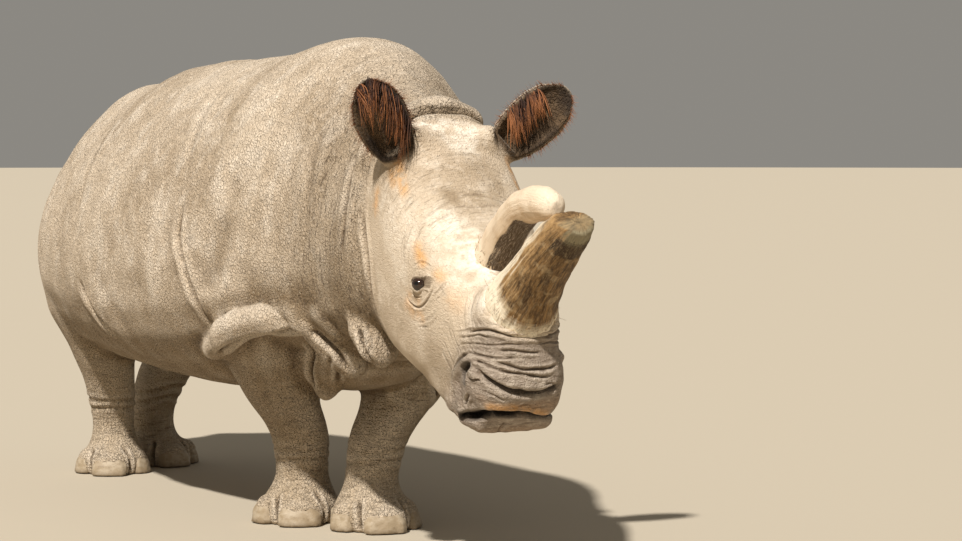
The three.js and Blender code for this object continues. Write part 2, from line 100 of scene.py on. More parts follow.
def smooth_path(points: Sequence[Point], spacing: float) -> np.ndarray:
    """A smooth curve through points.

    Args:
        points: the points it passes through, in order.
        spacing: the distance between the samples that come back.

    Returns:
        The samples, one per line.
    """
    rows = [Vector(p) for p in points]
    rows = [rows[0] * 2 - rows[1], *rows, rows[-1] * 2 - rows[-2]]
    samples = []
    for a, b, c, d in zip(rows, rows[1:], rows[2:], rows[3:]):
        count = max(2, math.ceil((c - b).length / spacing))
        for i in range(count):
            t = i / count
            samples.append(
                0.5 * (2 * b + (c - a) * t + (2 * a - 5 * b + 4 * c - d) * t * t
                       + (3 * b - a - 3 * c + d) * t ** 3)
            )
    samples.append(rows[-2])
    return np.array(samples, float)


# ---------------------------------------------------------------- meshes
def new_object(name: str, bm: bmesh.types.BMesh) -> bpy.types.Object:
    """An object holding a finished bmesh, linked into the scene at the origin."""
    mesh = bpy.data.meshes.new(name)
    bm.to_mesh(mesh)
    bm.free()
    made = bpy.data.objects.new(name, mesh)
    bpy.context.scene.collection.objects.link(made)
    return made


def places(mesh: bpy.types.Mesh) -> np.ndarray:
    """The vertex places of a mesh, one per line."""
    flat = np.empty(len(mesh.vertices) * 3)
    mesh.vertices.foreach_get("co", flat)
    return flat.reshape(-1, 3)


def set_places(mesh: bpy.types.Mesh, points: np.ndarray) -> None:
    """Moves the vertices of a mesh to new places."""
    mesh.vertices.foreach_set("co", points.astype(np.float32).ravel())
    mesh.update()


def normals(mesh: bpy.types.Mesh) -> np.ndarray:
    """The vertex normals of a mesh, one per line."""
    flat = np.empty(len(mesh.vertices) * 3)
    mesh.vertex_normals.foreach_get("vector", flat)
    return flat.reshape(-1, 3)


class Neighbours:
    """Which vertices of a mesh share an edge, for smoothing."""

    def __init__(self, mesh: bpy.types.Mesh) -> None:
        """Reads the edges of a mesh."""
        flat = np.empty(len(mesh.edges) * 2, np.int64)
        mesh.edges.foreach_get("vertices", flat)
        ends = flat.reshape(-1, 2)
        self.start = np.concatenate([ends[:, 0], ends[:, 1]])
        self.end = np.concatenate([ends[:, 1], ends[:, 0]])
        self.size = len(mesh.vertices)
        self.count = np.maximum(np.bincount(self.start, minlength=self.size), 1)

    def mean(self, values: np.ndarray) -> np.ndarray:
        """The mean over each vertex's neighbours of values with one line per vertex."""
        columns = values.reshape(self.size, -1)
        sums = [np.bincount(self.start, column[self.end], self.size) for column in columns.T]
        return (np.stack(sums, 1) / self.count[:, None]).reshape(values.shape)

    def relax(self, points: np.ndarray, rounds: np.ndarray) -> np.ndarray:
        """Smooths points, each for its own number of rounds.

        Args:
            points: one place per line.
            rounds: how many rounds each point takes part in.

        Returns:
            The smoothed places. In a full round a point goes half the way to its neighbours' mean.
        """
        points = points.copy()
        for turn in range(int(math.ceil(rounds.max()))):
            share = np.clip(rounds - turn, 0, 1)[:, None] * 0.5
            points += share * (self.mean(points) - points)
        return points


def softened(mesh: bpy.types.Mesh, rounds: float) -> np.ndarray:
    """The vertex places of a mesh after some rounds of smoothing everywhere."""
    return Neighbours(mesh).relax(places(mesh), np.full(len(mesh.vertices), rounds))


def triangles(mesh: bpy.types.Mesh) -> int:
    """How many triangles a mesh comes to."""
    return sum(len(face.vertices) - 2 for face in mesh.polygons)


def pour(part: bmesh.types.BMesh, whole: bmesh.types.BMesh) -> None:
    """Adds one bmesh to another and frees the first."""
    mesh = bpy.data.meshes.new("filler")
    part.to_mesh(mesh)
    part.free()
    whole.from_mesh(mesh)
    bpy.data.meshes.remove(mesh)


def cad_copy(names: Sequence[str], swell: float) -> bmesh.types.BMesh:
    """The merged meshes of some CAD nodes in one bmesh, each swollen a little.

    Args:
        names: the nodes.
        swell: how far each vertex moves outwards.

    Returns:
        A bmesh with one closed shell for each node.
    """
    whole = bmesh.new()
    for name in names:
        part = bmesh.new()
        part.from_mesh(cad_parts[name].data)
        bmesh.ops.remove_doubles(part, verts=part.verts, dist=1e-5)
        part.normal_update()
        for vert in part.verts:
            vert.co += vert.normal * swell
        pour(part, whole)
    return whole


def cut_off(bm: bmesh.types.BMesh, at: Vector, way: Vector) -> None:
    """Cuts away what lies beyond a plane and closes the cut."""
    geom = [*bm.verts, *bm.edges, *bm.faces]
    cut = bmesh.ops.bisect_plane(bm, geom=geom, plane_co=at, plane_no=way, clear_outer=True)
    edges = [item for item in cut["geom_cut"] if isinstance(item, bmesh.types.BMEdge)]
    bmesh.ops.holes_fill(bm, edges=edges)


def applied(made: bpy.types.Object) -> None:
    """Applies an object's modifiers to its mesh."""
    graph = bpy.context.evaluated_depsgraph_get()
    mesh = bpy.data.meshes.new_from_object(made.evaluated_get(graph))
    made.modifiers.clear()
    old, made.data = made.data, mesh
    bpy.data.meshes.remove(old)


def voxelled(made: bpy.types.Object, size: float) -> None:
    """Joins an object's closed shells into one skin of even squares."""
    remesh = made.modifiers.new("skin", "REMESH")
    remesh.mode = "VOXEL"
    remesh.voxel_size = size
    applied(made)


def refined(mesh: bpy.types.Mesh, chosen: Callable[[np.ndarray], np.ndarray]) -> None:
    """Halves the squares of a mesh wherever `chosen` says true of their corners' places."""
    inside = chosen(places(mesh))
    bm = bmesh.new()
    bm.from_mesh(mesh)
    edges = [e for e in bm.edges if inside[e.verts[0].index] and inside[e.verts[1].index]]
    bmesh.ops.subdivide_edges(bm, edges=edges, cuts=1, use_grid_fill=True)
    bmesh.ops.triangulate(bm, faces=[f for f in bm.faces if len(f.verts) > 4])
    bm.to_mesh(mesh)
    bm.free()


def shade_smooth(made: bpy.types.Object) -> None:
    """Shades every face of an object smooth."""
    made.data.polygons.foreach_set("use_smooth", [True] * len(made.data.polygons))
    made.data.update()


def set_attribute(mesh: bpy.types.Mesh, name: str, values: np.ndarray) -> None:
    """Stores one number or one vector per vertex on a mesh."""
    kind, key = ("FLOAT", "value") if values.ndim == 1 else ("FLOAT_VECTOR", "vector")
    layer = mesh.attributes.new(name, kind, "POINT")
    layer.data.foreach_set(key, values.astype(np.float32).ravel())


# ---------------------------------------------------------------- shader maths
Number = Union["Value", float, int]


@dataclass(frozen=True)
class Value:
    """One shader socket, with the operators that shader maths uses."""

    graph: "Graph"
    socket: bpy.types.NodeSocket

    def _math(self, operation: str, *inputs: Number) -> "Value":
        """A Math node on these inputs."""
        return self.graph.node("ShaderNodeMath", {"operation": operation}, dict(enumerate(inputs)))

    def __add__(self, other: Number) -> "Value":
        """self + other"""
        return self._math("ADD", self, other)

    __radd__ = __add__

    def __sub__(self, other: Number) -> "Value":
        """self - other"""
        return self._math("SUBTRACT", self, other)

    def __rsub__(self, other: Number) -> "Value":
        """other - self"""
        return self._math("SUBTRACT", other, self)

    def __mul__(self, other: Number) -> "Value":
        """self * other"""
        return self._math("MULTIPLY", self, other)

    __rmul__ = __mul__

    def clamp(self) -> "Value":
        """This value kept between 0 and 1."""
        return self.graph.node("ShaderNodeClamp", {}, {0: self})

    def step(self, low: float, high: float) -> "Value":
        """0 below low, 1 above high, and a smooth rise between; low above high falls instead."""
        return self.graph.node(
            "ShaderNodeMapRange", {"interpolation_type": "SMOOTHSTEP"}, {0: self, 1: low, 2: high}
        )


class Graph:
    """The node tree of one material."""

    def __init__(self, name: str) -> None:
        """Starts an empty material."""
        self.material = bpy.data.materials.new(name)
        self.material.use_nodes = True
        self.tree = self.material.node_tree
        self.tree.nodes.clear()

    def node(
        self, kind: str, settings: dict[str, object], inputs: dict[Union[int, str], object],
        output: Union[int, str] = 0,
    ) -> Value:
        """Adds a node.

        Args:
            kind: the node's type.
            settings: its settings, set first.
            inputs: numbers, colours or Values for its sockets, by name or number.
            output: which of its outputs comes back.

        Returns:
            That output.
        """
        made = self.tree.nodes.new(kind)
        for key, setting in settings.items():
            setattr(made, key, setting)
        for key, value in inputs.items():
            socket = made.inputs[key]
            if isinstance(value, Value):
                self.tree.links.new(value.socket, socket)
            elif isinstance(value, tuple) and len(value) == 3 and socket.type == "RGBA":
                socket.default_value = (*value, 1.0)
            else:
                socket.default_value = value
        return Value(self, made.outputs[output] if made.outputs else made.inputs[0])

    def attribute(self, name: str, output: str = "Fac") -> Value:
        """A value stored on the mesh."""
        return self.node("ShaderNodeAttribute", {"attribute_name": name}, {}, output)

    def place(self, scale: Point = (1, 1, 1)) -> Value:
        """Object coordinates, scaled: a pattern is drawn out where the scale is small."""
        here = self.node("ShaderNodeTexCoord", {}, {}, "Object")
        return self.node("ShaderNodeMapping", {}, {"Vector": here, "Scale": scale})

    def noise(self, where: Value, scale: float, detail: float = 3.0, rough: float = 0.55) -> Value:
        """Cloudy noise from 0 to 1."""
        inputs = {"Vector": where, "Scale": scale, "Detail": detail, "Roughness": rough}
        return self.node("ShaderNodeTexNoise", {}, inputs)

    def cells(self, where: Value, scale: float) -> Value:
        """Distance to the nearest border between scattered cells."""
        inputs = {"Vector": where, "Scale": scale}
        return self.node("ShaderNodeTexVoronoi", {"feature": "DISTANCE_TO_EDGE"}, inputs, "Distance")

    def mix(self, factor: Number, a: Union[Value, Point], b: Union[Value, Point]) -> Value:
        """Colour a where the factor is 0 and colour b where it is 1."""
        settings = {"data_type": "RGBA", "clamp_factor": True}
        return self.node("ShaderNodeMix", settings, {0: factor, 6: a, 7: b}, 2)

    def bump(self, height: Number, depth: float, after: Union[Value, None] = None) -> Value:
        """A bumped normal for a height from 0 to 1 that stands for `depth` metres."""
        inputs: dict[Union[int, str], object] = {"Height": height, "Distance": depth, "Strength": 1.0}
        if after is not None:
            inputs["Normal"] = after
        return self.node("ShaderNodeBump", {}, inputs, "Normal")

    def finish(self, inputs: dict[Union[int, str], object]) -> bpy.types.Material:
        """Ends the tree in one Principled surface and gives back the material."""
        surface = self.node("ShaderNodeBsdfPrincipled", {}, inputs)
        self.node("ShaderNodeOutputMaterial", {}, {"Surface": surface})
        return self.material


def srgb(red: int, green: int, blue: int) -> Point:
    """A linear colour from the usual 0 to 255 numbers of a paint chart."""
    def linear(level: int) -> float:
        """One channel made linear."""
        share = level / 255
        return share / 12.92 if share <= 0.04045 else ((share + 0.055) / 1.055) ** 2.4
    return linear(red), linear(green), linear(blue)


FEET = ("front_right", "front_left", "hind_right", "hind_left")


# ---------------------------------------------------------------- folds of the hide
class Side(Enum):
    """Where a path lies: only as given, or on both sides."""

    ONE = "one"
    BOTH = "both"


def runs(path: Sequence[Point], spacing: float, side: Side, axes: Axes) -> list[np.ndarray]:
    """The smooth paths that a path stands for.

    Args:
        path: its points, on the animal's right or over its middle.
        spacing: the distance between samples.
        side: where it lies.
        axes: the axes its points are told in.

    Returns:
        One or two sampled paths in the row frame.
    """
    kept = [path]
    if side is Side.BOTH:
        # the mirror plane is l = 0 for the head and x = 0 for the body
        flip = (1, -1, 1) if axes is HEAD else (-1, 1, 1)
        kept.append([tuple(a * b for a, b in zip(point, flip)) for point in path])
    return [smooth_path([axes.at(point) for point in points], spacing) for points in kept]


@dataclass(frozen=True)
class Fold:
    """A crease pressed along a path in the hide, with the lips that it raises.

    Attributes:
        path: the points it follows, on the animal's right or over its middle.
        width: metres between the crests of its two lips.
        cut: how deep it is pressed.
        lip: how high the lips stand beside it.
        fade: the share of its length over which it dies out at either end.
        side: where it lies.
        axes: the axes its points are told in.
    """

    path: tuple[Point, ...]
    width: float
    cut: float
    lip: float
    fade: float = 0.15
    side: Side = Side.BOTH
    axes: Axes = HEAD

    def runs(self) -> list[np.ndarray]:
        """The smooth paths it takes in the row frame."""
        return runs(self.path, self.width / 5, self.side, self.axes)

    def height(self, across: np.ndarray, along: np.ndarray) -> np.ndarray:
        """How far it moves the hide outwards.

        Args:
            across: distances from the path, in half widths.
            along: shares of the length, 0 to 1.

        Returns:
            Metres, one per point.
        """
        ends = smoothstep(0, self.fade, along) * smoothstep(0, self.fade, 1 - along)
        pressed = -self.cut * np.exp(-(across / 0.28) ** 1.5)
        lips = np.zeros_like(across)
        for hand in (-1, 1):
            past = across * hand - 0.75
            lips += self.lip * np.exp(-((past / np.where(past < 0, 0.42, 0.45)) ** 2))
        return ends * (pressed + lips)


@dataclass(frozen=True)
class Swell:
    """A soft ridge, lump or hollow along a path: `height` above 0 stands out, below 0 sinks in."""

    path: tuple[Point, ...]
    radius: float
    height: float
    side: Side = Side.BOTH
    axes: Axes = HEAD


@dataclass(frozen=True)
class Stroke:
    """A brushed mark along a path on the hide, `strength` on the path and 0 at `reach` from it."""

    path: tuple[Point, ...]
    reach: float
    strength: float = 1.0
    side: Side = Side.BOTH
    axes: Axes = HEAD


class Relief:
    """The places of a skin's vertices while folds are pressed into it."""

    def __init__(self, made: bpy.types.Object) -> None:
        """Reads a skin."""
        self.made = made
        self.points = places(made.data)
        self.normals = normals(made.data)
        self.shift = np.zeros(len(self.points))

    def snapped(self, path: np.ndarray) -> np.ndarray:
        """A path moved onto the skin."""
        return np.array([self.made.closest_point_on_mesh(Vector(p))[1] for p in path])

    def along(self, path: np.ndarray, reach: float) -> tuple[np.ndarray, ...]:
        """Where vertices lie beside a path.

        Args:
            path: points on the skin.
            reach: how far from the path vertices are looked for.

        Returns:
            Their numbers, distances from the path, and shares of its length.
        """
        low, high = path.min(0) - reach, path.max(0) + reach
        near = np.nonzero(np.all((self.points > low) & (self.points < high), axis=1))[0]
        start, step = path[:-1], np.diff(path, axis=0)
        lengths = np.maximum(np.linalg.norm(step, axis=1), 1e-6)
        run = np.concatenate([[0], np.cumsum(lengths)])
        best = np.full(len(near), np.inf)
        share = np.zeros(len(near))
        for i in range(len(start)):
            offset = self.points[near] - start[i]
            part = np.clip(offset @ step[i] / lengths[i] ** 2, 0, 1)
            gap = offset - part[:, None] * step[i]
            far = np.einsum("ij,ij->i", gap, gap)
            closer = far < best
            best[closer] = far[closer]
            share[closer] = (run[i] + part[closer] * lengths[i]) / run[-1]
        distance = np.sqrt(best)
        kept = distance < reach
        return near[kept], distance[kept], share[kept]

    def fold(self, fold: Fold) -> None:
        """Presses one fold."""
        half = fold.width / 2
        for path in fold.runs():
            index, across, share = self.along(self.snapped(path), half * 1.9)
            self.shift[index] += fold.height(across / half, share)

    def swell(self, swell: Swell) -> None:
        """Raises or sinks one soft shape."""
        for path in runs(swell.path, swell.radius / 5, swell.side, swell.axes):
            index, across, _ = self.along(self.snapped(path), swell.radius)
            self.shift[index] += swell.height * (1 - (across / swell.radius) ** 2) ** 2

    def painted(self, strokes: Sequence[Stroke]) -> np.ndarray:
        """How strongly brushed strokes mark each vertex, 0 to 1."""
        marked = np.zeros(len(self.points))
        for stroke in strokes:
            for path in runs(stroke.path, stroke.reach * 1.5 / 5, stroke.side, stroke.axes):
                index, across, _ = self.along(self.snapped(path), stroke.reach)
                fresh = stroke.strength * (1 - smoothstep(0.1, 1.0, across / stroke.reach))
                marked[index] = np.maximum(marked[index], fresh)
        return marked

    def roughen(self, size: float, height: float, where: np.ndarray) -> None:
        """Adds soft noise, `size` metres across and `height` high, as strong as `where` says."""
        for i in np.nonzero(where > 0.01)[0]:
            self.shift[i] += height * where[i] * noise.noise(Vector(self.points[i] / size))

    def settle(self) -> None:
        """Moves the skin by what has been pressed so far and starts afresh from there."""
        self.points = self.points + self.normals * self.shift[:, None]
        set_places(self.made.data, self.points)
        self.normals = normals(self.made.data)
        self.shift[:] = 0


BODY_FOLDS = (
    # the crease behind the shoulder, deepest low down
    Fold(((-0.464, 0.178, 1.130), (-0.484, 0.184, 1.046), (-0.496, 0.174, 0.963), (-0.512, 0.130, 0.890),
          (-0.507, 0.090, 0.816), (-0.494, 0.052, 0.758), (-0.465, 0.035, 0.705), (-0.459, -0.010, 0.655)),
         0.085, 0.015, 0.008, fade=0.35, axes=BODY),
    # under the edge of the shoulder's flap
    Fold(((-0.432, 0.010, 0.575), (-0.437, -0.050, 0.598), (-0.435, -0.125, 0.622), (-0.428, -0.190, 0.642),
          (-0.415, -0.260, 0.658), (-0.395, -0.345, 0.672), (-0.372, -0.440, 0.678), (-0.350, -0.530, 0.672)),
         0.070, 0.034, 0.006, fade=0.12, axes=BODY),
    # down from the throat over the top of the leg
    Fold(((-0.350, -0.535, 0.705), (-0.332, -0.572, 0.686), (-0.308, -0.598, 0.655), (-0.283, -0.612, 0.625),
          (-0.266, -0.612, 0.597), (-0.246, -0.612, 0.566)), 0.060, 0.018, 0.006, fade=0.25, axes=BODY),
    # either side of the lobe behind the leg
    Fold(((-0.250, -0.325, 0.640), (-0.230, -0.285, 0.600), (-0.208, -0.237, 0.556), (-0.185, -0.202, 0.515),
          (-0.164, -0.183, 0.476)), 0.060, 0.030, 0.006, fade=0.2, axes=BODY),
    Fold(((-0.290, -0.598, 0.640), (-0.235, -0.500, 0.590), (-0.170, -0.370, 0.540), (-0.122, -0.272, 0.494)),
         0.045, 0.016, 0.004, fade=0.25, axes=BODY),
    # the folds at the side of the throat
    Fold(((-0.340, -0.866, 0.735), (-0.337, -0.886, 0.698), (-0.333, -0.896, 0.665), (-0.318, -0.898, 0.632),
          (-0.300, -0.900, 0.610)), 0.045, 0.020, 0.007, fade=0.3, axes=BODY),
    Fold(((-0.336, -0.905, 0.705), (-0.328, -0.917, 0.672), (-0.319, -0.916, 0.648)),
         0.026, 0.008, 0.003, fade=0.35, axes=BODY),
    Fold(((-0.376, -0.975, 1.105), (-0.383, -1.002, 1.030), (-0.385, -1.022, 0.960), (-0.376, -1.022, 0.870),
          (-0.362, -1.000, 0.790)), 0.060, 0.012, 0.006, fade=0.35, axes=BODY),
    # between the belly and the thigh
    Fold(((-0.520, 1.075, 0.800), (-0.514, 1.010, 0.735), (-0.500, 0.950, 0.680), (-0.476, 0.895, 0.632),
          (-0.448, 0.855, 0.592), (-0.410, 0.850, 0.552)), 0.110, 0.020, 0.007, fade=0.3, axes=BODY),
    # under the roll of the nape
    Fold(((-0.300, -1.005, 1.290), (-0.256, -1.032, 1.338), (-0.205, -1.050, 1.362), (-0.150, -1.060, 1.366),
          (-0.090, -1.058, 1.355), (-0.030, -1.038, 1.325), (0.030, -1.003, 1.270)),
         0.090, 0.046, 0.006, fade=0.15, side=Side.ONE, axes=BODY),
    # slack skin over the flank, hip and hump
    Fold(((-0.300, 1.250, 1.500), (-0.430, 1.220, 1.350), (-0.500, 1.180, 1.150), (-0.525, 1.120, 0.950)),
         0.140, 0.005, 0.003, fade=0.4, axes=BODY),
    Fold(((-0.250, 0.330, 1.540), (-0.370, 0.300, 1.420), (-0.440, 0.250, 1.280), (-0.464, 0.180, 1.130)),
         0.120, 0.006, 0.003, fade=0.4, axes=BODY),
    Fold(((-0.300, -0.520, 1.440), (-0.370, -0.560, 1.300), (-0.395, -0.600, 1.140), (-0.392, -0.620, 0.980)),
         0.140, 0.008, 0.004, fade=0.4, axes=BODY),
    Fold(((-0.300, -0.800, 1.330), (-0.360, -0.850, 1.200), (-0.390, -0.885, 1.060), (-0.385, -0.890, 0.900)),
         0.080, 0.008, 0.004, fade=0.4, axes=BODY),
)

BODY_SWELLS = (
    # the shoulder's dip, the hollow above the flap, and its upper side filled flush
    Swell(((-0.418, -0.176, 1.202), (-0.471, -0.085, 0.993), (-0.481, -0.052, 0.901)),
          0.130, -0.012, axes=BODY),
    Swell(((-0.419, -0.283, 0.815), (-0.392, -0.411, 0.810), (-0.378, -0.575, 0.813),
           (-0.388, -0.720, 0.852)), 0.100, -0.003, axes=BODY),
    Swell(((-0.470, -0.050, 0.690), (-0.460, -0.200, 0.730), (-0.425, -0.330, 0.748), (-0.380, -0.430, 0.745),
            (-0.345, -0.520, 0.735)), 0.075, 0.016, axes=BODY),
    Swell(((-0.480, -0.040, 0.740), (-0.470, -0.190, 0.775), (-0.430, -0.330, 0.790),
           (-0.390, -0.450, 0.785)), 0.100, 0.010, axes=BODY),
    # the diagonal fold and the hanging lobes
    Swell(((-0.347, -0.609, 0.749), (-0.307, -0.636, 0.695), (-0.254, -0.613, 0.637),
           (-0.225, -0.615, 0.582)), 0.060, 0.014, axes=BODY),
    Swell(((-0.205, -0.345, 0.575), (-0.170, -0.290, 0.530), (-0.146, -0.240, 0.490),
           (-0.136, -0.225, 0.470)), 0.060, 0.014, axes=BODY),
    Swell(((-0.314, -0.915, 0.700), (-0.301, -0.923, 0.650), (-0.278, -0.912, 0.611)),
          0.045, 0.010, axes=BODY),
    Swell(((-0.500, 0.900, 0.760), (-0.480, 0.820, 0.670), (-0.430, 0.760, 0.600)), 0.110, 0.010, axes=BODY),
    # the roll of the nape
    Swell(((-0.300, -0.975, 1.325), (-0.255, -1.000, 1.375), (-0.205, -1.015, 1.400), (-0.150, -1.020, 1.405),
           (-0.090, -1.015, 1.395), (-0.030, -0.990, 1.360)), 0.060, 0.030, side=Side.ONE, axes=BODY),
)

# told in the head's axes: forward down the face, left, out of the forehead
MUZZLE_FOLDS = (
    # round the foot of the front horn
    Fold(((0.735, -0.128, -0.120), (0.793, -0.115, -0.060), (0.823, -0.094, -0.038), (0.850, -0.062, -0.031),
          (0.870, -0.022, -0.024), (0.874, 0.025, -0.023), (0.850, 0.065, -0.036), (0.805, 0.105, -0.055),
          (0.735, 0.128, -0.120)), 0.026, 0.010, 0.003, side=Side.ONE, fade=0.12),
    # over the nose, from the nostril's rim to the other side
    Fold(((0.881, -0.105, -0.099), (0.900, -0.076, -0.094), (0.915, -0.044, -0.098), (0.922, -0.020, -0.100),
          (0.919, 0.013, -0.102), (0.925, 0.038, -0.099), (0.924, 0.065, -0.097), (0.900, 0.095, -0.102)),
         0.026, 0.012, 0.003, side=Side.ONE, fade=0.18),
    Fold(((0.822, -0.139, -0.150), (0.838, -0.131, -0.136), (0.862, -0.121, -0.122), (0.888, -0.108, -0.114),
          (0.920, -0.075, -0.106), (0.932, -0.030, -0.106), (0.939, 0.012, -0.112), (0.938, 0.040, -0.117),
          (0.930, 0.072, -0.119)), 0.022, 0.009, 0.003, side=Side.ONE, fade=0.15),
    # the deep fold over the upper lip
    Fold(((0.852, -0.134, -0.146), (0.870, -0.126, -0.148), (0.895, -0.117, -0.147), (0.925, -0.103, -0.145),
          (0.940, -0.080, -0.148), (0.945, -0.040, -0.155), (0.950, 0.016, -0.159), (0.955, 0.052, -0.156),
          (0.945, 0.080, -0.154), (0.920, 0.108, -0.158)),
         0.046, 0.024, 0.004, side=Side.ONE, fade=0.16),
    # down behind the nostril to the corner of the mouth
    Fold(((0.800, -0.132, -0.155), (0.780, -0.136, -0.178), (0.766, -0.142, -0.212), (0.759, -0.146, -0.250),
          (0.756, -0.141, -0.288), (0.759, -0.134, -0.322), (0.772, -0.130, -0.352)),
         0.032, 0.015, 0.005, fade=0.15),
    Fold(((0.868, -0.138, -0.232), (0.861, -0.134, -0.250), (0.856, -0.131, -0.275), (0.866, -0.126, -0.292)),
         0.028, 0.013, 0.004, side=Side.ONE, fade=0.3),
    # the mouth, open a crack
    Fold(((0.850, -0.128, -0.348), (0.875, -0.124, -0.322), (0.900, -0.113, -0.296), (0.928, -0.098, -0.268),
          (0.946, -0.070, -0.250)), 0.060, 0.024, 0.0, side=Side.ONE, fade=0.25),
    Fold(((0.812, -0.124, -0.362), (0.840, -0.126, -0.342), (0.866, -0.124, -0.318), (0.893, -0.114, -0.290),
          (0.926, -0.100, -0.256), (0.948, -0.075, -0.234), (0.955, -0.030, -0.233), (0.955, 0.010, -0.241),
          (0.950, 0.045, -0.262), (0.936, 0.078, -0.276), (0.902, 0.112, -0.292), (0.855, 0.126, -0.325)),
         0.050, 0.034, 0.003, side=Side.ONE, fade=0.06),
)

# finer seams, pressed once the muzzle's folds have set
MUZZLE_SEAMS = (
    Fold(((0.861, -0.103, -0.079), (0.884, -0.055, -0.060), (0.894, 0.000, -0.063), (0.890, 0.040, -0.066)),
         0.020, 0.0070, 0.0030, side=Side.ONE, fade=0.25),
    Fold(((0.777, -0.134, -0.168), (0.798, -0.127, -0.146), (0.828, -0.118, -0.123), (0.860, -0.105, -0.103),
          (0.886, -0.095, -0.083), (0.899, -0.056, -0.074), (0.904, -0.020, -0.074)),
         0.018, 0.0055, 0.0025, side=Side.ONE, fade=0.2),
    Fold(((0.716, -0.145, -0.158), (0.744, -0.141, -0.129), (0.770, -0.132, -0.104), (0.800, -0.122, -0.075),
          (0.840, -0.098, -0.055)), 0.016, 0.0045, 0.0025, fade=0.25),
    Fold(((0.722, -0.144, -0.185), (0.754, -0.138, -0.146), (0.800, -0.125, -0.105), (0.850, -0.102, -0.068),
          (0.875, -0.060, -0.046), (0.884, 0.000, -0.044)), 0.015, 0.0040, 0.0020, fade=0.25),
    Fold(((0.700, -0.146, -0.150), (0.735, -0.140, -0.112), (0.775, -0.124, -0.070)),
         0.014, 0.0035, 0.0020, fade=0.3),
    Fold(((0.846, -0.146, -0.192), (0.863, -0.146, -0.184), (0.878, -0.140, -0.174), (0.892, -0.127, -0.161)),
         0.016, 0.0070, 0.0025, side=Side.ONE, fade=0.25),
    Fold(((0.953, 0.025, -0.136), (0.949, 0.052, -0.135), (0.930, 0.080, -0.145)),
         0.016, 0.0045, 0.0020, side=Side.ONE, fade=0.3),
    # seams of the upper lip, and the notch of the chin
    Fold(((0.905, -0.122, -0.186), (0.935, -0.098, -0.178), (0.955, -0.060, -0.182)),
         0.018, 0.0030, 0.0020, side=Side.ONE, fade=0.3),
    Fold(((0.957, -0.040, -0.205), (0.962, -0.010, -0.196), (0.960, 0.020, -0.205)),
         0.016, 0.0030, 0.0020, side=Side.ONE, fade=0.3),
    Fold(((0.945, -0.044, -0.275), (0.935, -0.046, -0.318), (0.915, -0.046, -0.350)),
         0.030, 0.0060, 0.0020, side=Side.ONE, fade=0.3),
)

EYE_FOLDS = (
    # the pouch of the lower lid
    Fold(((0.542, -0.171, -0.104), (0.550, -0.176, -0.130), (0.548, -0.182, -0.160), (0.537, -0.188, -0.192),
          (0.517, -0.193, -0.213), (0.495, -0.200, -0.221), (0.472, -0.204, -0.222), (0.457, -0.206, -0.205)),
         0.018, 0.0055, 0.0022, fade=0.15),
    Fold(((0.597, -0.168, -0.143), (0.592, -0.171, -0.174), (0.582, -0.177, -0.198), (0.559, -0.181, -0.230),
          (0.532, -0.188, -0.256), (0.505, -0.194, -0.272)), 0.015, 0.0034, 0.0016, fade=0.25),
    Fold(((0.614, -0.165, -0.151), (0.608, -0.169, -0.180), (0.592, -0.175, -0.216), (0.567, -0.181, -0.245),
          (0.536, -0.187, -0.266)), 0.013, 0.0030, 0.0014, fade=0.25),
    # over the upper lid
    Fold(((0.437, -0.204, -0.135), (0.445, -0.195, -0.110), (0.458, -0.184, -0.092), (0.479, -0.174, -0.083),
          (0.503, -0.168, -0.083)), 0.015, 0.0026, 0.0014, fade=0.25),
    Fold(((0.448, -0.202, -0.148), (0.458, -0.193, -0.122), (0.474, -0.184, -0.108), (0.496, -0.176, -0.103)),
         0.012, 0.0012, 0.0008, fade=0.3),
    # in front of the eye, towards the nose
    Fold(((0.562, -0.176, -0.138), (0.568, -0.166, -0.108), (0.571, -0.156, -0.086), (0.575, -0.141, -0.065)),
         0.013, 0.0035, 0.0018, fade=0.3),
    Fold(((0.578, -0.172, -0.142), (0.584, -0.163, -0.113), (0.590, -0.152, -0.089), (0.595, -0.137, -0.067)),
         0.013, 0.0035, 0.0018, fade=0.3),
    Fold(((0.473, -0.204, -0.192), (0.497, -0.199, -0.186), (0.516, -0.194, -0.176), (0.529, -0.188, -0.160)),
         0.012, 0.0030, 0.0015, fade=0.3),
    # upright seams behind it
    Fold(((0.350, -0.203, -0.086), (0.386, -0.211, -0.124), (0.412, -0.212, -0.155)),
         0.016, 0.0025, 0.0015, fade=0.3),
    Fold(((0.366, -0.193, -0.070), (0.403, -0.204, -0.110), (0.428, -0.207, -0.142)),
         0.014, 0.0020, 0.0012, fade=0.3),
)

HEAD_SWELLS = (
    # bare crest between the ears
    Swell(((-0.011, -0.060, 0.060), (0.021, 0.000, 0.070), (0.010, 0.060, 0.060)),
          0.060, 0.006, side=Side.ONE),
    # the roll between the folds of the nose, thickest over the upper lip
    Swell(((0.872, -0.122, -0.132), (0.915, -0.100, -0.126), (0.940, -0.060, -0.130), (0.947, 0.000, -0.137),
           (0.950, 0.030, -0.138)), 0.030, 0.007, side=Side.ONE),
    # the rim of the nostril, its wing, and the roll at the corner of the mouth
    Swell(((0.835, -0.130, -0.140), (0.810, -0.138, -0.155), (0.791, -0.142, -0.185), (0.779, -0.142, -0.220),
           (0.772, -0.139, -0.258), (0.776, -0.134, -0.290)), 0.022, 0.011),
    Swell(((0.842, -0.140, -0.168), (0.862, -0.136, -0.168)), 0.024, 0.010, side=Side.ONE),
    Swell(((0.795, -0.138, -0.285), (0.815, -0.136, -0.310), (0.838, -0.130, -0.325)), 0.034, 0.008),
    # the bulge of the upper lip
    Swell(((0.900, -0.124, -0.215), (0.940, -0.092, -0.198), (0.958, -0.035, -0.196), (0.955, 0.035, -0.208),
           (0.925, 0.095, -0.230)), 0.045, 0.006, side=Side.ONE),
)

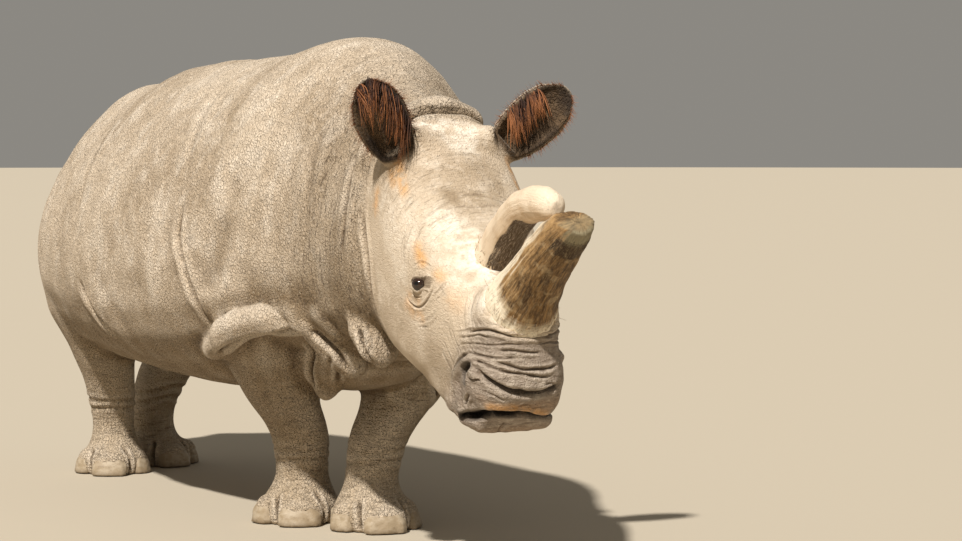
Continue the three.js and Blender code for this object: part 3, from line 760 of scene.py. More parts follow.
NOSTRIL = Swell(((0.827, -0.142, -0.166), (0.813, -0.139, -0.184), (0.813, -0.137, -0.202),
                 (0.828, -0.138, -0.213)), 0.016, -0.030)


# folds round the legs: node, height, how much higher it stands at the front, depth
LEG_RINGS = (
    ("leg_hind_right", 0.288, -0.012, 0.0050), ("leg_hind_right", 0.246, 0.004, 0.0050),
    ("leg_hind_left", 0.290, -0.012, 0.0045), ("leg_hind_left", 0.250, 0.004, 0.0045),
    ("leg_front_right", 0.205, 0.010, 0.0030), ("leg_front_right", 0.250, -0.010, 0.0025),
    ("leg_front_left", 0.215, 0.012, 0.0035), ("leg_front_left", 0.262, -0.010, 0.0025),
)


def around(node: str, height: float, tilt: float) -> tuple[Point, ...]:
    """Points round a leg.

    Args:
        node: the leg's CAD node.
        height: metres above the floor.
        tilt: how much higher the ring stands at the front than in the middle.

    Returns:
        The points, starting and ending at the back of the leg.
    """
    points = places(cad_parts[node].data)
    band = points[np.abs(points[:, 2] - height) < 0.09]
    low, high = band.min(0), band.max(0)
    middle, half = (low + high) / 2, (high - low) / 2
    ring = []
    for i in range(17):
        angle = math.tau * i / 16
        x, y = math.sin(angle) * half[0], math.cos(angle) * half[1]
        ring.append((middle[0] + x, middle[1] + y, height - tilt * math.cos(angle)))
    return tuple(ring)


def toe_clefts(foot: str) -> list[tuple[Point, ...]]:
    """Points up the two clefts between the toes of a foot."""
    middle, *sides = [sum(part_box(f"nail_{foot}_{toe}"), Vector()) / 2 for toe in ("middle", "inner", "outer")]
    found = []
    for side in sides:
        low = (middle + side) / 2
        inwards = Vector((0, 0.035, 0))
        found.append(((*low.xy, 0.008), (*low.xy, 0.045), (*(low + inwards).xy, 0.105)))
    return found


# ---------------------------------------------------------------- marks
STROKES: dict[str, tuple[Stroke, ...]] = {
    "ochre": (
        Stroke(((0.405, -0.189, -0.074), (0.430, -0.186, -0.082), (0.462, -0.182, -0.090)), 0.030),
        Stroke(((0.530, -0.158, -0.075), (0.548, -0.152, -0.072)), 0.030, 0.9),
        Stroke(((0.470, -0.200, -0.235), (0.510, -0.192, -0.240), (0.545, -0.186, -0.225)), 0.032, 0.6),
        Stroke(((0.470, -0.203, -0.200), (0.515, -0.194, -0.190)), 0.024, 0.5),
        Stroke(((0.125, -0.172, 0.000), (0.180, -0.178, -0.011), (0.225, -0.182, -0.023)), 0.026, 0.9),
        Stroke(((0.120, -0.191, -0.022), (0.170, -0.197, -0.036)), 0.022, 0.8),
        Stroke(((0.125, -0.222, -0.100), (0.162, -0.228, -0.135)), 0.024, 0.9),
        Stroke(((0.940, -0.095, -0.222), (0.962, -0.050, -0.212), (0.958, 0.010, -0.222),
                (0.945, 0.060, -0.250)), 0.028, 0.9, Side.ONE),
        Stroke(((0.620, -0.140, -0.085), (0.650, -0.130, -0.075)), 0.060, 0.4),
    ),
    "chalk": (
        Stroke(((0.035, -0.070, 0.070), (0.055, -0.022, 0.076), (0.070, 0.022, 0.071), (0.075, 0.062, 0.064)),
               0.070, 0.95, Side.ONE),
        Stroke(((0.100, 0.000, 0.066), (0.125, 0.040, 0.057)), 0.055, 0.8, Side.ONE),
        Stroke(((0.184, -0.218, -0.083), (0.268, -0.222, -0.108), (0.331, -0.220, -0.132)), 0.080, 0.4),
        Stroke(((0.263, -0.188, -0.038), (0.332, -0.190, -0.057), (0.377, -0.193, -0.076)), 0.060, 0.4),
        Stroke(((0.370, -0.110, -0.010), (0.438, -0.080, -0.004), (0.497, -0.070, -0.008),
                (0.545, -0.090, -0.012)), 0.085, 0.95),
        Stroke(((0.436, -0.135, -0.029), (0.531, -0.131, -0.043), (0.616, -0.118, -0.046)), 0.070, 0.6),
        Stroke(((0.650, -0.110, -0.052), (0.720, -0.105, -0.060)), 0.060, 0.45),
        Stroke(((0.400, -0.217, -0.175), (0.430, -0.214, -0.215)), 0.070, 0.45),
    ),
    # brown bands on the forehead, and painted shade in the creases of the body
    "soil_and_shade": (
        Stroke(((0.282, -0.071, 0.018), (0.310, -0.058, 0.014)), 0.034, 0.7, Side.ONE),
        Stroke(((0.301, 0.017, 0.019), (0.331, 0.033, 0.012)), 0.036, 0.6, Side.ONE),
        Stroke(((0.180, 0.050, 0.038), (0.250, 0.075, 0.024), (0.310, 0.070, 0.014)), 0.070, 0.5, Side.ONE),
        # darker along the lower jaw
        Stroke(((0.614, -0.165, -0.295), (0.669, -0.150, -0.324), (0.711, -0.134, -0.364)), 0.100, 0.35),
        # painted shade under the roll of the nape
        Stroke(((-0.300, -1.005, 1.290), (-0.256, -1.032, 1.338), (-0.205, -1.050, 1.362),
                (-0.150, -1.060, 1.366), (-0.090, -1.058, 1.355), (-0.030, -1.038, 1.325)),
               0.034, 1.0, Side.ONE, BODY),
        # painted shade above the shoulder's flap, at the side of the neck, in the shoulder's dip and down the
        # crease behind the shoulder
        Stroke(((-0.450, -0.300, 0.800), (-0.400, -0.450, 0.800), (-0.385, -0.600, 0.800)),
               0.110, 0.9, axes=BODY),
        Stroke(((-0.390, -0.850, 1.000), (-0.380, -0.800, 0.850)), 0.120, 0.5, axes=BODY),
        Stroke(((-0.470, -0.100, 1.000), (-0.480, -0.050, 0.880)), 0.100, 0.4, axes=BODY),
        Stroke(((-0.500, 0.060, 0.780), (-0.470, -0.010, 0.690)), 0.060, 0.7, axes=BODY),
    ),
    # painted shade in the mouth's gap, the nostrils and the deep folds over the upper lip and behind the
    # nostril
    "gape_and_crease_shade": (
        Stroke(((0.832, -0.126, -0.350), (0.866, -0.124, -0.322), (0.893, -0.114, -0.296),
                (0.926, -0.100, -0.264), (0.948, -0.075, -0.240), (0.955, -0.030, -0.236)),
               0.026, 1.0, Side.ONE),
        Stroke(((0.955, -0.030, -0.234), (0.955, 0.010, -0.241), (0.950, 0.045, -0.262),
                (0.936, 0.078, -0.276), (0.902, 0.112, -0.292), (0.870, 0.124, -0.315)),
               0.017, 1.0, Side.ONE),
        Stroke(((0.827, -0.142, -0.166), (0.813, -0.139, -0.184), (0.813, -0.137, -0.202),
                (0.830, -0.138, -0.215)), 0.026, 1.0),
        Stroke(((0.890, -0.120, -0.147), (0.925, -0.103, -0.145), (0.940, -0.080, -0.148),
                (0.945, -0.040, -0.155), (0.950, 0.016, -0.159), (0.955, 0.052, -0.156),
                (0.945, 0.085, -0.154)), 0.012, 0.70, Side.ONE),
        Stroke(((0.788, -0.134, -0.170), (0.768, -0.140, -0.212), (0.760, -0.144, -0.250),
                (0.758, -0.138, -0.290)), 0.015, 0.75),
    ),
}


# ---------------------------------------------------------------- eyes
@dataclass(frozen=True)
class Eye:
    """One eyeball and the opening of its lids.

    Attributes:
        node: its CAD node.
        hand: -1 on the animal's right, 1 on its left.
        radius: of the ball.
        lid: how far the lids stand off the ball.
        rim: the opening's outline in ball radii, along the eye and across it.
    """

    node: str
    hand: int
    radius: float = 0.025
    lid: float = 0.0035
    rim: tuple[tuple[float, float], ...] = (
        (0.95, 0.16), (0.66, 0.52), (0.12, 0.66), (-0.45, 0.60), (-0.93, 0.22),
        (-0.74, -0.26), (-0.34, -0.64), (0.04, -0.80), (0.42, -0.64), (0.76, -0.26),
    )

    @property
    def centre(self) -> Vector:
        """The middle of the ball."""
        low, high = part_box(self.node)
        return (low + high) / 2

    @property
    def axes(self) -> Axes:
        """Along the eye towards the muzzle, up across it, and out along the look."""
        look = HEAD.way((0.40, 0.72 * self.hand, 0.56)).normalized()
        along = HEAD.way((0.80, -0.24 * self.hand, 0.55))
        along = (along - look * along.dot(look)).normalized()
        up = look.cross(along) * -self.hand
        up = up if up.dot(HEAD.way((0, 0, 1))) > 0 else -up
        return Axes(self.centre, Matrix((along, up, look)).transposed())

    def reach(self, angle: np.ndarray) -> np.ndarray:
        """How far the opening reaches from its middle at each angle, in ball radii."""
        ring = smooth_path([(x, y, 0) for x, y in (*self.rim, self.rim[0])], 0.05)
        turn = np.arctan2(ring[:, 1], ring[:, 0])
        order = np.argsort(turn)
        return np.interp(angle, turn[order], np.hypot(ring[:, 0], ring[:, 1])[order], period=math.tau)

    def near_rim(self, points: np.ndarray) -> np.ndarray:
        """How near each place is to the opening's rim, 0 to 1."""
        local = self.axes.local(points)
        size = np.maximum(np.linalg.norm(local, axis=1), 1e-6)
        flat = np.hypot(local[:, 0], local[:, 1]) / size
        limit = self.reach(np.arctan2(local[:, 1], local[:, 0]))
        near = (size < self.radius * 1.5) & (local[:, 2] > 0)
        upper = smoothstep(-0.2, 0.3, local[:, 1] / self.radius)
        return np.exp(-(((flat - limit) / 0.14) ** 2)) * near * (0.25 + 0.75 * upper)

    def open_lids(self, points: np.ndarray) -> np.ndarray:
        """Shapes the skin round the ball into two lids and gives back its new places."""
        local = self.axes.local(points)
        far = np.linalg.norm(local, axis=1)
        near = far < self.radius * 2.2
        part = local[near]
        size = far[near]
        unit = part / np.maximum(size, 1e-6)[:, None]
        flat = np.hypot(unit[:, 0], unit[:, 1])
        limit = self.reach(np.arctan2(unit[:, 1], unit[:, 0]))
        front = unit[:, 2] > 0.05
        # lids clear the ball everywhere, thickest at the rim
        rim = np.exp(-(((flat - limit) / 0.16) ** 2)) * front
        least = self.radius + self.lid * (0.75 + 0.45 * rim)
        size = np.where(size < least + 0.004, np.maximum(size, least), size)
        inside = front & (flat < limit)
        size = np.where(inside, self.radius * 0.80, size)
        # vertices just outside the opening come to its edge
        edge = front & (flat >= limit) & (flat < limit + 0.07)
        pull = np.where(edge, limit / np.maximum(flat, 1e-6), 1.0)
        unit[:, :2] *= pull[:, None]
        unit[:, 2] = np.sqrt(np.maximum(1 - unit[:, 0] ** 2 - unit[:, 1] ** 2, 1e-6)) * np.sign(unit[:, 2])
        moved = points.copy()
        turned = (unit * size[:, None]) @ np.array(self.axes.turn).T
        moved[near] = turned + np.array(self.centre)
        return moved

    def build(self) -> bpy.types.Object:
        """The ball, a little fuller over the iris."""
        bm = bmesh.new()
        bmesh.ops.create_uvsphere(bm, u_segments=48, v_segments=32, radius=self.radius)
        axes = self.axes
        for vert in bm.verts:
            bulge = max(0.0, vert.co.z / self.radius - 0.80) * 0.004
            vert.co = axes.at(vert.co * (0.985 + bulge / self.radius))
        bmesh.ops.recalc_face_normals(bm, faces=bm.faces)
        ball = new_object(f"{self.node}_ball", bm)
        shade_smooth(ball)
        look = self.axes.local(places(ball.data))
        look /= np.linalg.norm(look, axis=1)[:, None]
        set_attribute(ball.data, "look", np.arccos(np.clip(look[:, 2], -1, 1)))
        return ball


# ---------------------------------------------------------------- ears
@dataclass(frozen=True)
class Ear:
    """One ear: a stalk that opens into a cupped leaf.

    Attributes:
        node: its CAD node.
        root: the foot of the stalk, in the head's axes.
        tip: a point its middle line runs to.
        faces: the way its opening looks.
        length: from root to tip.
        rows: share of the length and half width there.
    """

    node: str
    root: Point
    tip: Point
    faces: Point
    length: float = 0.296
    rows: tuple[tuple[float, float], ...] = (
        (0.0, 0.046), (0.14, 0.060), (0.28, 0.075), (0.45, 0.083), (0.64, 0.084), (0.82, 0.070),
        (0.94, 0.042), (1.0, 0.014),
    )

    @property
    def axes(self) -> Axes:
        """Across the ear, along it, and out through its opening."""
        root = HEAD.at(self.root)
        along = (Vector(self.tip) - root).normalized()
        across = Vector(self.faces).cross(along).normalized()
        return Axes(root, Matrix((across, along, along.cross(across))).transposed())

    def half_width(self, share: np.ndarray) -> np.ndarray:
        """Half the ear's width at shares of its length."""
        return np.interp(share, [row[0] for row in self.rows], [row[1] for row in self.rows])

    def inside(self, points: np.ndarray, out: np.ndarray) -> np.ndarray:
        """How far each point belongs to the ear's hollow, 0 to 1, from its place and normal."""
        local = self.axes.local(points)
        share = local[:, 1] / self.length
        width = np.maximum(self.half_width(share), 0.01)
        facing = out @ np.array(self.axes.turn)[:, 2]
        in_leaf = smoothstep(0.06, 0.14, share) * (1 - smoothstep(0.97, 1.04, share))
        in_width = 1 - smoothstep(0.86, 1.02, np.abs(local[:, 0]) / width)
        near = np.abs(local[:, 2]) < 0.07
        return in_leaf * in_width * smoothstep(-0.15, 0.25, facing) * near

    def on_leaf(self, points: np.ndarray) -> np.ndarray:
        """How far each point belongs to the ear rather than the head, 0 to 1."""
        local = self.axes.local(points)
        share = local[:, 1] / self.length
        width = np.maximum(self.half_width(share), 0.01)
        near = (np.abs(local[:, 0]) < width + 0.02) & (np.abs(local[:, 2]) < 0.075)
        return smoothstep(0.06, 0.18, share) * near * (share < 1.1)

    def build(self) -> bpy.types.Object:
        """The ear as a smooth closed shell, to be joined with the head."""
        leaf = new_object(f"{self.node}_leaf", cad_copy([self.node], 0.0025))
        voxelled(leaf, 0.0055)
        mesh = leaf.data
        points = softened(mesh, 5.0)
        local = self.axes.local(points)
        share = local[:, 1] / self.length
        # soft folds run along the outside of the leaf and round its foot
        out = normals(mesh)
        facing = out @ np.array(self.axes.turn)[:, 2]
        back = smoothstep(0.0, -0.4, facing) * smoothstep(0.1, 0.3, share)
        wave = np.sin(local[:, 0] / 0.0085 + 3 * share) * np.sin(local[:, 1] / 0.06 + 1.0)
        stalk = smoothstep(0.02, 0.08, share) * (1 - smoothstep(0.25, 0.4, share))
        ringing = np.sin(local[:, 1] / 0.0050 + local[:, 0] / 0.05)
        points = points + out * (back * wave * 0.0012 + stalk * ringing * 0.0014)[:, None]
        set_places(mesh, points)
        return leaf


# ---------------------------------------------------------------- the hide
@dataclass
class Hide:
    """One skin over the trunk, neck, head, legs, tail and ears.

    Attributes:
        flesh: the CAD nodes it covers.
        voxel: the side of its squares before the head, feet and folds are made finer.
        swell: how far the nodes are swollen first, to make up for smoothing.
        most: the triangles it may have in the end.
    """

    eyes: tuple[Eye, ...]
    ears: tuple[Ear, ...]
    flesh: tuple[str, ...] = (
        "trunk", "neck", "head", "leg_front_right", "leg_front_left", "leg_hind_right",
        "leg_hind_left", "tail",
    )
    voxel: float = 0.0125
    swell: float = 0.0025
    most: int = 196000

    def build(self) -> bpy.types.Object:
        """Builds the whole skin."""
        skin = self._wrap()
        self._smooth(skin)
        self._refine(skin)
        self._graft_ears(skin)
        relief = Relief(skin)
        self._fold(relief)
        self._open_eyes(skin)
        self._mark_bends(skin)
        self._thin(skin)
        self._mark(skin)
        shade_smooth(skin)
        return skin

    def _plugs(self) -> bmesh.types.BMesh:
        """What fills the sockets of eyes, horns, ears, nails, nostrils and mouth."""
        plugs = cad_copy([eye.node for eye in self.eyes], 0.0)
        for node in ("horn_front", "horn_rear"):
            part = cad_copy([node], 0.002)
            cut_off(part, HEAD.at((0, 0, -0.012)), HEAD.way((0, 0, 1)))
            pour(part, plugs)
        for ear in self.ears:
            part = cad_copy([ear.node], 0.002)
            cut_off(part, ear.axes.at((0, 0.020, 0)), ear.axes.way((0, 1, 0)))
            pour(part, plugs)
        nails = sorted(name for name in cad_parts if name.startswith("nail_"))
        pour(cad_copy(nails, -0.007), plugs)
        # a cuff of skin lies over the top of each nail
        cuff = cad_copy(nails, 0.009)
        cut_off(cuff, Vector((0, 0, 0.058)), Vector((0, 0, -1)))
        pour(cuff, plugs)
        # balls inside the lips close the slit of the mouth and the nostrils
        balls = (
            (0.760, 0.120, -0.372, 0.032), (0.830, 0.100, -0.355, 0.038), (0.870, 0.060, -0.340, 0.042),
            (0.880, 0.000, -0.330, 0.044), (0.826, 0.118, -0.205, 0.034),
        )
        for f, l, u, radius in balls:
            for hand in ((-1, 1) if l else (1,)):
                place = Matrix.Translation(HEAD.at((f, l * hand, u)))
                bmesh.ops.create_icosphere(plugs, subdivisions=2, radius=radius, matrix=place)
        return plugs

    def _wrap(self) -> bpy.types.Object:
        """The nodes and plugs joined in one even skin."""
        whole = cad_copy(self.flesh, self.swell)
        pour(self._plugs(), whole)
        skin = new_object("hide", whole)
        voxelled(skin, self.voxel)
        self._drop_islands(skin.data)
        return skin

    @staticmethod
    def _drop_islands(mesh: bpy.types.Mesh) -> None:
        """Keeps the largest of a mesh's shells."""
        near = Neighbours(mesh)
        reached = np.zeros(near.size, bool)
        top = int(np.argmax(places(mesh)[:, 2]))
        reached[top] = True
        edge = np.array([top])
        order = np.argsort(near.start, kind="stable")
        ends, first = near.end[order], np.searchsorted(near.start[order], np.arange(near.size + 1))
        while len(edge):
            found = np.unique(np.concatenate([ends[first[v]:first[v + 1]] for v in edge]))
            edge = found[~reached[found]]
            reached[edge] = True
        if reached.all():
            return
        LOG.info("hide: %d inner vertices left out", int((~reached).sum()))
        bm = bmesh.new()
        bm.from_mesh(mesh)
        bm.verts.ensure_lookup_table()
        bmesh.ops.delete(bm, geom=[bm.verts[i] for i in np.nonzero(~reached)[0]], context="VERTS")
        bm.to_mesh(mesh)
        bm.free()

    def _smooth(self, skin: bpy.types.Object) -> None:
        """Softens the facets: most on the trunk, least on the feet, lips and rolls."""
        mesh = skin.data
        near = Neighbours(mesh)
        points = places(mesh)
        head = HEAD.local(points)
        rounds = np.full(len(points), 66.0)
        legs = 1 - smoothstep(0.62, 0.85, points[:, 2])
        rounds += legs * (14 - rounds)
        neck = smoothstep(-0.15, -0.75, points[:, 1])
        rounds += neck * (24 - rounds)
        nape = smoothstep(-0.80, -0.88, points[:, 1]) * smoothstep(1.05, 1.2, points[:, 2])
        rounds += nape * (7 - rounds)
        on_head = smoothstep(-0.04, 0.06, head[:, 0])
        rounds += on_head * (18 - rounds)
        muzzle = smoothstep(0.62, 0.74, head[:, 0])
        rounds += muzzle * (10 - rounds)
        rolls = (
            smoothstep(0.48, 0.54, points[:, 2]) * (1 - smoothstep(0.78, 0.86, points[:, 2]))
            * smoothstep(-1.15, -1.0, points[:, 1]) * (1 - smoothstep(0.15, 0.3, points[:, 1]))
        )
        rounds += rolls * (7 - rounds)
        feet = 1 - smoothstep(0.10, 0.22, points[:, 2])
        rounds += feet * (7 - rounds)
        tail = smoothstep(1.93, 1.97, points[:, 1]) * (np.abs(points[:, 0]) < 0.11)
        rounds += tail * (5 - rounds)
        for _ in range(4):
            rounds = near.mean(rounds)
        set_places(mesh, near.relax(points, rounds))

    def _refine(self, skin: bpy.types.Object) -> None:
        """Makes the squares finer on the head, feet and folds, finest at the eyes."""
        paths = np.concatenate([path for fold in BODY_FOLDS for path in fold.runs()])

        def fine(points: np.ndarray) -> np.ndarray:
            """The head, the feet and the body's folds."""
            head = HEAD.local(points)
            picked = (head[:, 0] > -0.06) & (points[:, 1] < -0.75) | (points[:, 2] < 0.17)
            for part in np.array_split(paths, max(1, len(paths) // 40)):
                low, high = part.min(0) - 0.07, part.max(0) + 0.07
                box = np.nonzero(np.all((points > low) & (points < high), axis=1) & ~picked)[0]
                if len(box):
                    gap = np.linalg.norm(points[box][:, None] - part[None], axis=2).min(1)
                    picked[box[gap < 0.065]] = True
            return picked

        def finer(points: np.ndarray) -> np.ndarray:
            """The muzzle and the surroundings of the eyes."""
            head = HEAD.local(points)
            picked = (head[:, 0] > 0.70) & (head[:, 2] < 0.0) & (head[:, 2] > -0.40)
            for eye in self.eyes:
                picked |= np.linalg.norm(points - np.array(eye.centre), axis=1) < 0.10
            return picked

        def finest(points: np.ndarray) -> np.ndarray:
            """The lids."""
            picked = np.zeros(len(points), bool)
            for eye in self.eyes:
                picked |= np.linalg.norm(points - np.array(eye.centre), axis=1) < 0.048
            return picked

        for chosen in (fine, finer, finest):
            refined(skin.data, chosen)
            mesh = skin.data
            points = places(mesh)
            rounds = chosen(points) * 2.0
            set_places(mesh, Neighbours(mesh).relax(points, rounds))

    def _graft_ears(self, skin: bpy.types.Object) -> None:
        """Joins the ears to the head and blends the seam."""
        for ear in self.ears:
            leaf = ear.build()
            union = skin.modifiers.new("ear", "BOOLEAN")
            union.operation = "UNION"
            union.solver = "EXACT"
            union.object = leaf
            applied(skin)
            bpy.data.objects.remove(leaf)
        bm = bmesh.new()
        bm.from_mesh(skin.data)
        bmesh.ops.remove_doubles(bm, verts=bm.verts, dist=0.0006)
        bm.to_mesh(skin.data)
        bm.free()
        mesh = skin.data
        points = places(mesh)
        rounds = np.zeros(len(points))
        for ear in self.ears:
            local = ear.axes.local(points)
            radial = np.hypot(local[:, 0], local[:, 2])
            height = smoothstep(-0.07, -0.03, local[:, 1]) * (1 - smoothstep(0.03, 0.06, local[:, 1]))
            rounds = np.maximum(rounds, 10 * height * (1 - smoothstep(0.07, 0.12, radial)))
        near = Neighbours(mesh)
        set_places(mesh, near.relax(points, near.mean(rounds)))

    def _fold(self, relief: Relief) -> None:
        """Presses the folds of the body, head and legs into the skin."""
        for name, strokes in STROKES.items():
            set_attribute(relief.made.data, name, relief.painted(strokes))
        for swell in (*BODY_SWELLS, *HEAD_SWELLS, NOSTRIL):
            relief.swell(swell)
        points = relief.points
        head = HEAD.local(points)
        body = 1 - smoothstep(-0.10, 0.02, head[:, 0]) * (points[:, 1] < -0.75)
        relief.roughen(0.30, 0.010, body * smoothstep(0.4, 0.7, points[:, 2]))
        relief.roughen(0.09, 0.0035, body * smoothstep(0.2, 0.5, points[:, 2]))
        relief.settle()
        for fold in (*BODY_FOLDS, *MUZZLE_FOLDS):
            relief.fold(fold)
        for node, height, tilt, depth in LEG_RINGS:
            path = around(node, height, tilt)
            relief.fold(Fold(path, 0.040, depth, depth * 0.6, fade=0.10, side=Side.ONE, axes=BODY))
        for foot in FEET:
            for path in toe_clefts(foot):
                relief.fold(Fold(path, 0.044, 0.017, 0.004, fade=0.25, side=Side.ONE, axes=BODY))
        relief.settle()
        for fold in (*MUZZLE_SEAMS, *EYE_FOLDS):
            relief.fold(fold)
        muzzle = smoothstep(0.66, 0.78, head[:, 0])
        relief.roughen(0.022, 0.0022, muzzle)
        relief.settle()

    def _open_eyes(self, skin: bpy.types.Object) -> None:
        """Shapes the lids."""
        points = places(skin.data)
        for eye in self.eyes:
            points = eye.open_lids(points)
        set_places(skin.data, points)

    @staticmethod
    def _mark_bends(skin: bpy.types.Object) -> None:
        """Stores where the skin is hollow and where it stands out."""
        mesh = skin.data
        near = Neighbours(mesh)
        points = places(mesh)
        soft = near.relax(points, np.full(len(points), 6.0))
        bend = near.mean(np.einsum("ij,ij->i", soft - points, normals(mesh)))
        set_attribute(mesh, "hollow", np.clip(bend / 0.0016, 0, 1))
        set_attribute(mesh, "ridge", np.clip(-bend / 0.0016, 0, 1))

    def _thin(self, skin: bpy.types.Object) -> None:
        """Takes triangles out where the skin is smooth."""
        count = triangles(skin.data)
        LOG.info("hide: %d triangles before thinning", count)
        if count > self.most:
            thin = skin.modifiers.new("thin", "DECIMATE")
            thin.ratio = self.most / count
            applied(skin)

    def _mark(self, skin: bpy.types.Object) -> None:
        """Stores on each vertex how much of each colour and grain it takes."""
        mesh = skin.data
        points, out = places(mesh), normals(mesh)
        head = HEAD.local(points)
        f, l, u = head.T
        on_head = smoothstep(-0.03, 0.06, f - np.maximum(0.0, -0.12 - u)) * (points[:, 1] < -0.8)
        leaf = np.zeros(len(points))
        hollow = np.zeros(len(points))
        for ear in self.ears:
            leaf = np.maximum(leaf, ear.on_leaf(points))
            hollow = np.maximum(hollow, ear.inside(points, out))
        on_head = on_head * (1 - leaf)

        span = np.abs(l)

        def patch(at: Point, size: Point) -> np.ndarray:
            """A soft patch on both sides of the head: 1 at its middle, 0 at its edge."""
            across = ((span - at[1]) / size[1]) ** 2
            gap = ((f - at[0]) / size[0]) ** 2 + across + ((u - at[2]) / size[2]) ** 2
            return (1 - smoothstep(0.2, 1.0, gap)) * on_head

        nose = smoothstep(0.60, 0.72, f) * on_head
        # distances from the horns' feet and the eyes, for wrinkles that run round them
        to_front = np.sqrt((f - 0.77) ** 2 + (0.5 * l) ** 2 + (u - 0.02) ** 2)
        to_rear = np.sqrt((f - 0.54) ** 2 + (0.6 * l) ** 2 + u ** 2)
        ring = np.where(nose > 0.5, to_front, to_rear)
        to_eye = np.minimum.reduce([
            np.linalg.norm(points - np.array(eye.centre), axis=1) for eye in self.eyes
        ])
        set_attribute(mesh, "ring", np.column_stack([ring, 0.16 * span, 0.10 * (f + u)]))
        set_attribute(mesh, "lid_ring", np.column_stack([to_eye, 0.10 * f, 0.10 * u]))
        marks = {
            "muzzle": smoothstep(0.70, 0.84, f + 0.10 * (-0.05 - u)) * on_head * smoothstep(-0.01, -0.05, u),
            "lip": patch((0.93, 0.0, -0.215), (0.12, 0.16, 0.040))
            + patch((0.87, 0.0, -0.36), (0.14, 0.17, 0.08)),
            "pale": np.maximum.reduce([
                patch((0.40, 0.17, -0.03), (0.24, 0.12, 0.14)),
                patch((0.50, 0.05, 0.02), (0.14, 0.10, 0.08)),
                patch((0.62, 0.14, -0.14), (0.18, 0.10, 0.14)),
                patch((0.30, 0.22, -0.18), (0.22, 0.10, 0.14)) * 0.8,
            ]),
            "horn_foot": np.maximum(
                patch((0.57, 0.0, 0.0), (0.16, 0.10, 0.06)),
                patch((0.74, 0.0, 0.0), (0.14, 0.16, 0.06)) * 0.9,
            ),
            "head": on_head,
            "nose": nose,
            "near_eye": smoothstep(0.120, 0.050, to_eye) * smoothstep(0.026, 0.040, to_eye),
            "brow": smoothstep(-0.16, -0.06, u) * smoothstep(0.02, 0.10, f)
            * smoothstep(0.52, 0.36, f) * on_head,
            "ear_hollow": hollow,
            "low": 1 - smoothstep(0.30, 0.85, points[:, 2]),
            # painted shade: where the skin faces down
            "under": smoothstep(0.0, -0.7, out[:, 2]) * (points[:, 2] > 0.02) * (1 - leaf),
            "neck": smoothstep(-0.35, -0.7, points[:, 1]) * (1 - on_head) * (1 - leaf),
            "leg": 1 - smoothstep(0.45, 0.62, points[:, 2]),
            "lid_rim": np.maximum.reduce([eye.near_rim(points) for eye in self.eyes]),
        }
        for name, values in marks.items():
            set_attribute(mesh, name, np.clip(values, 0, 1))

    def dress(self, skin: bpy.types.Object) -> None:
        """Gives the skin its material and its place in the frame."""
        skin.data.materials.clear()
        skin.data.materials.append(HideFinish().material())
        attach(skin, "root")
        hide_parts(*self.flesh, *(ear.node for ear in self.ears))


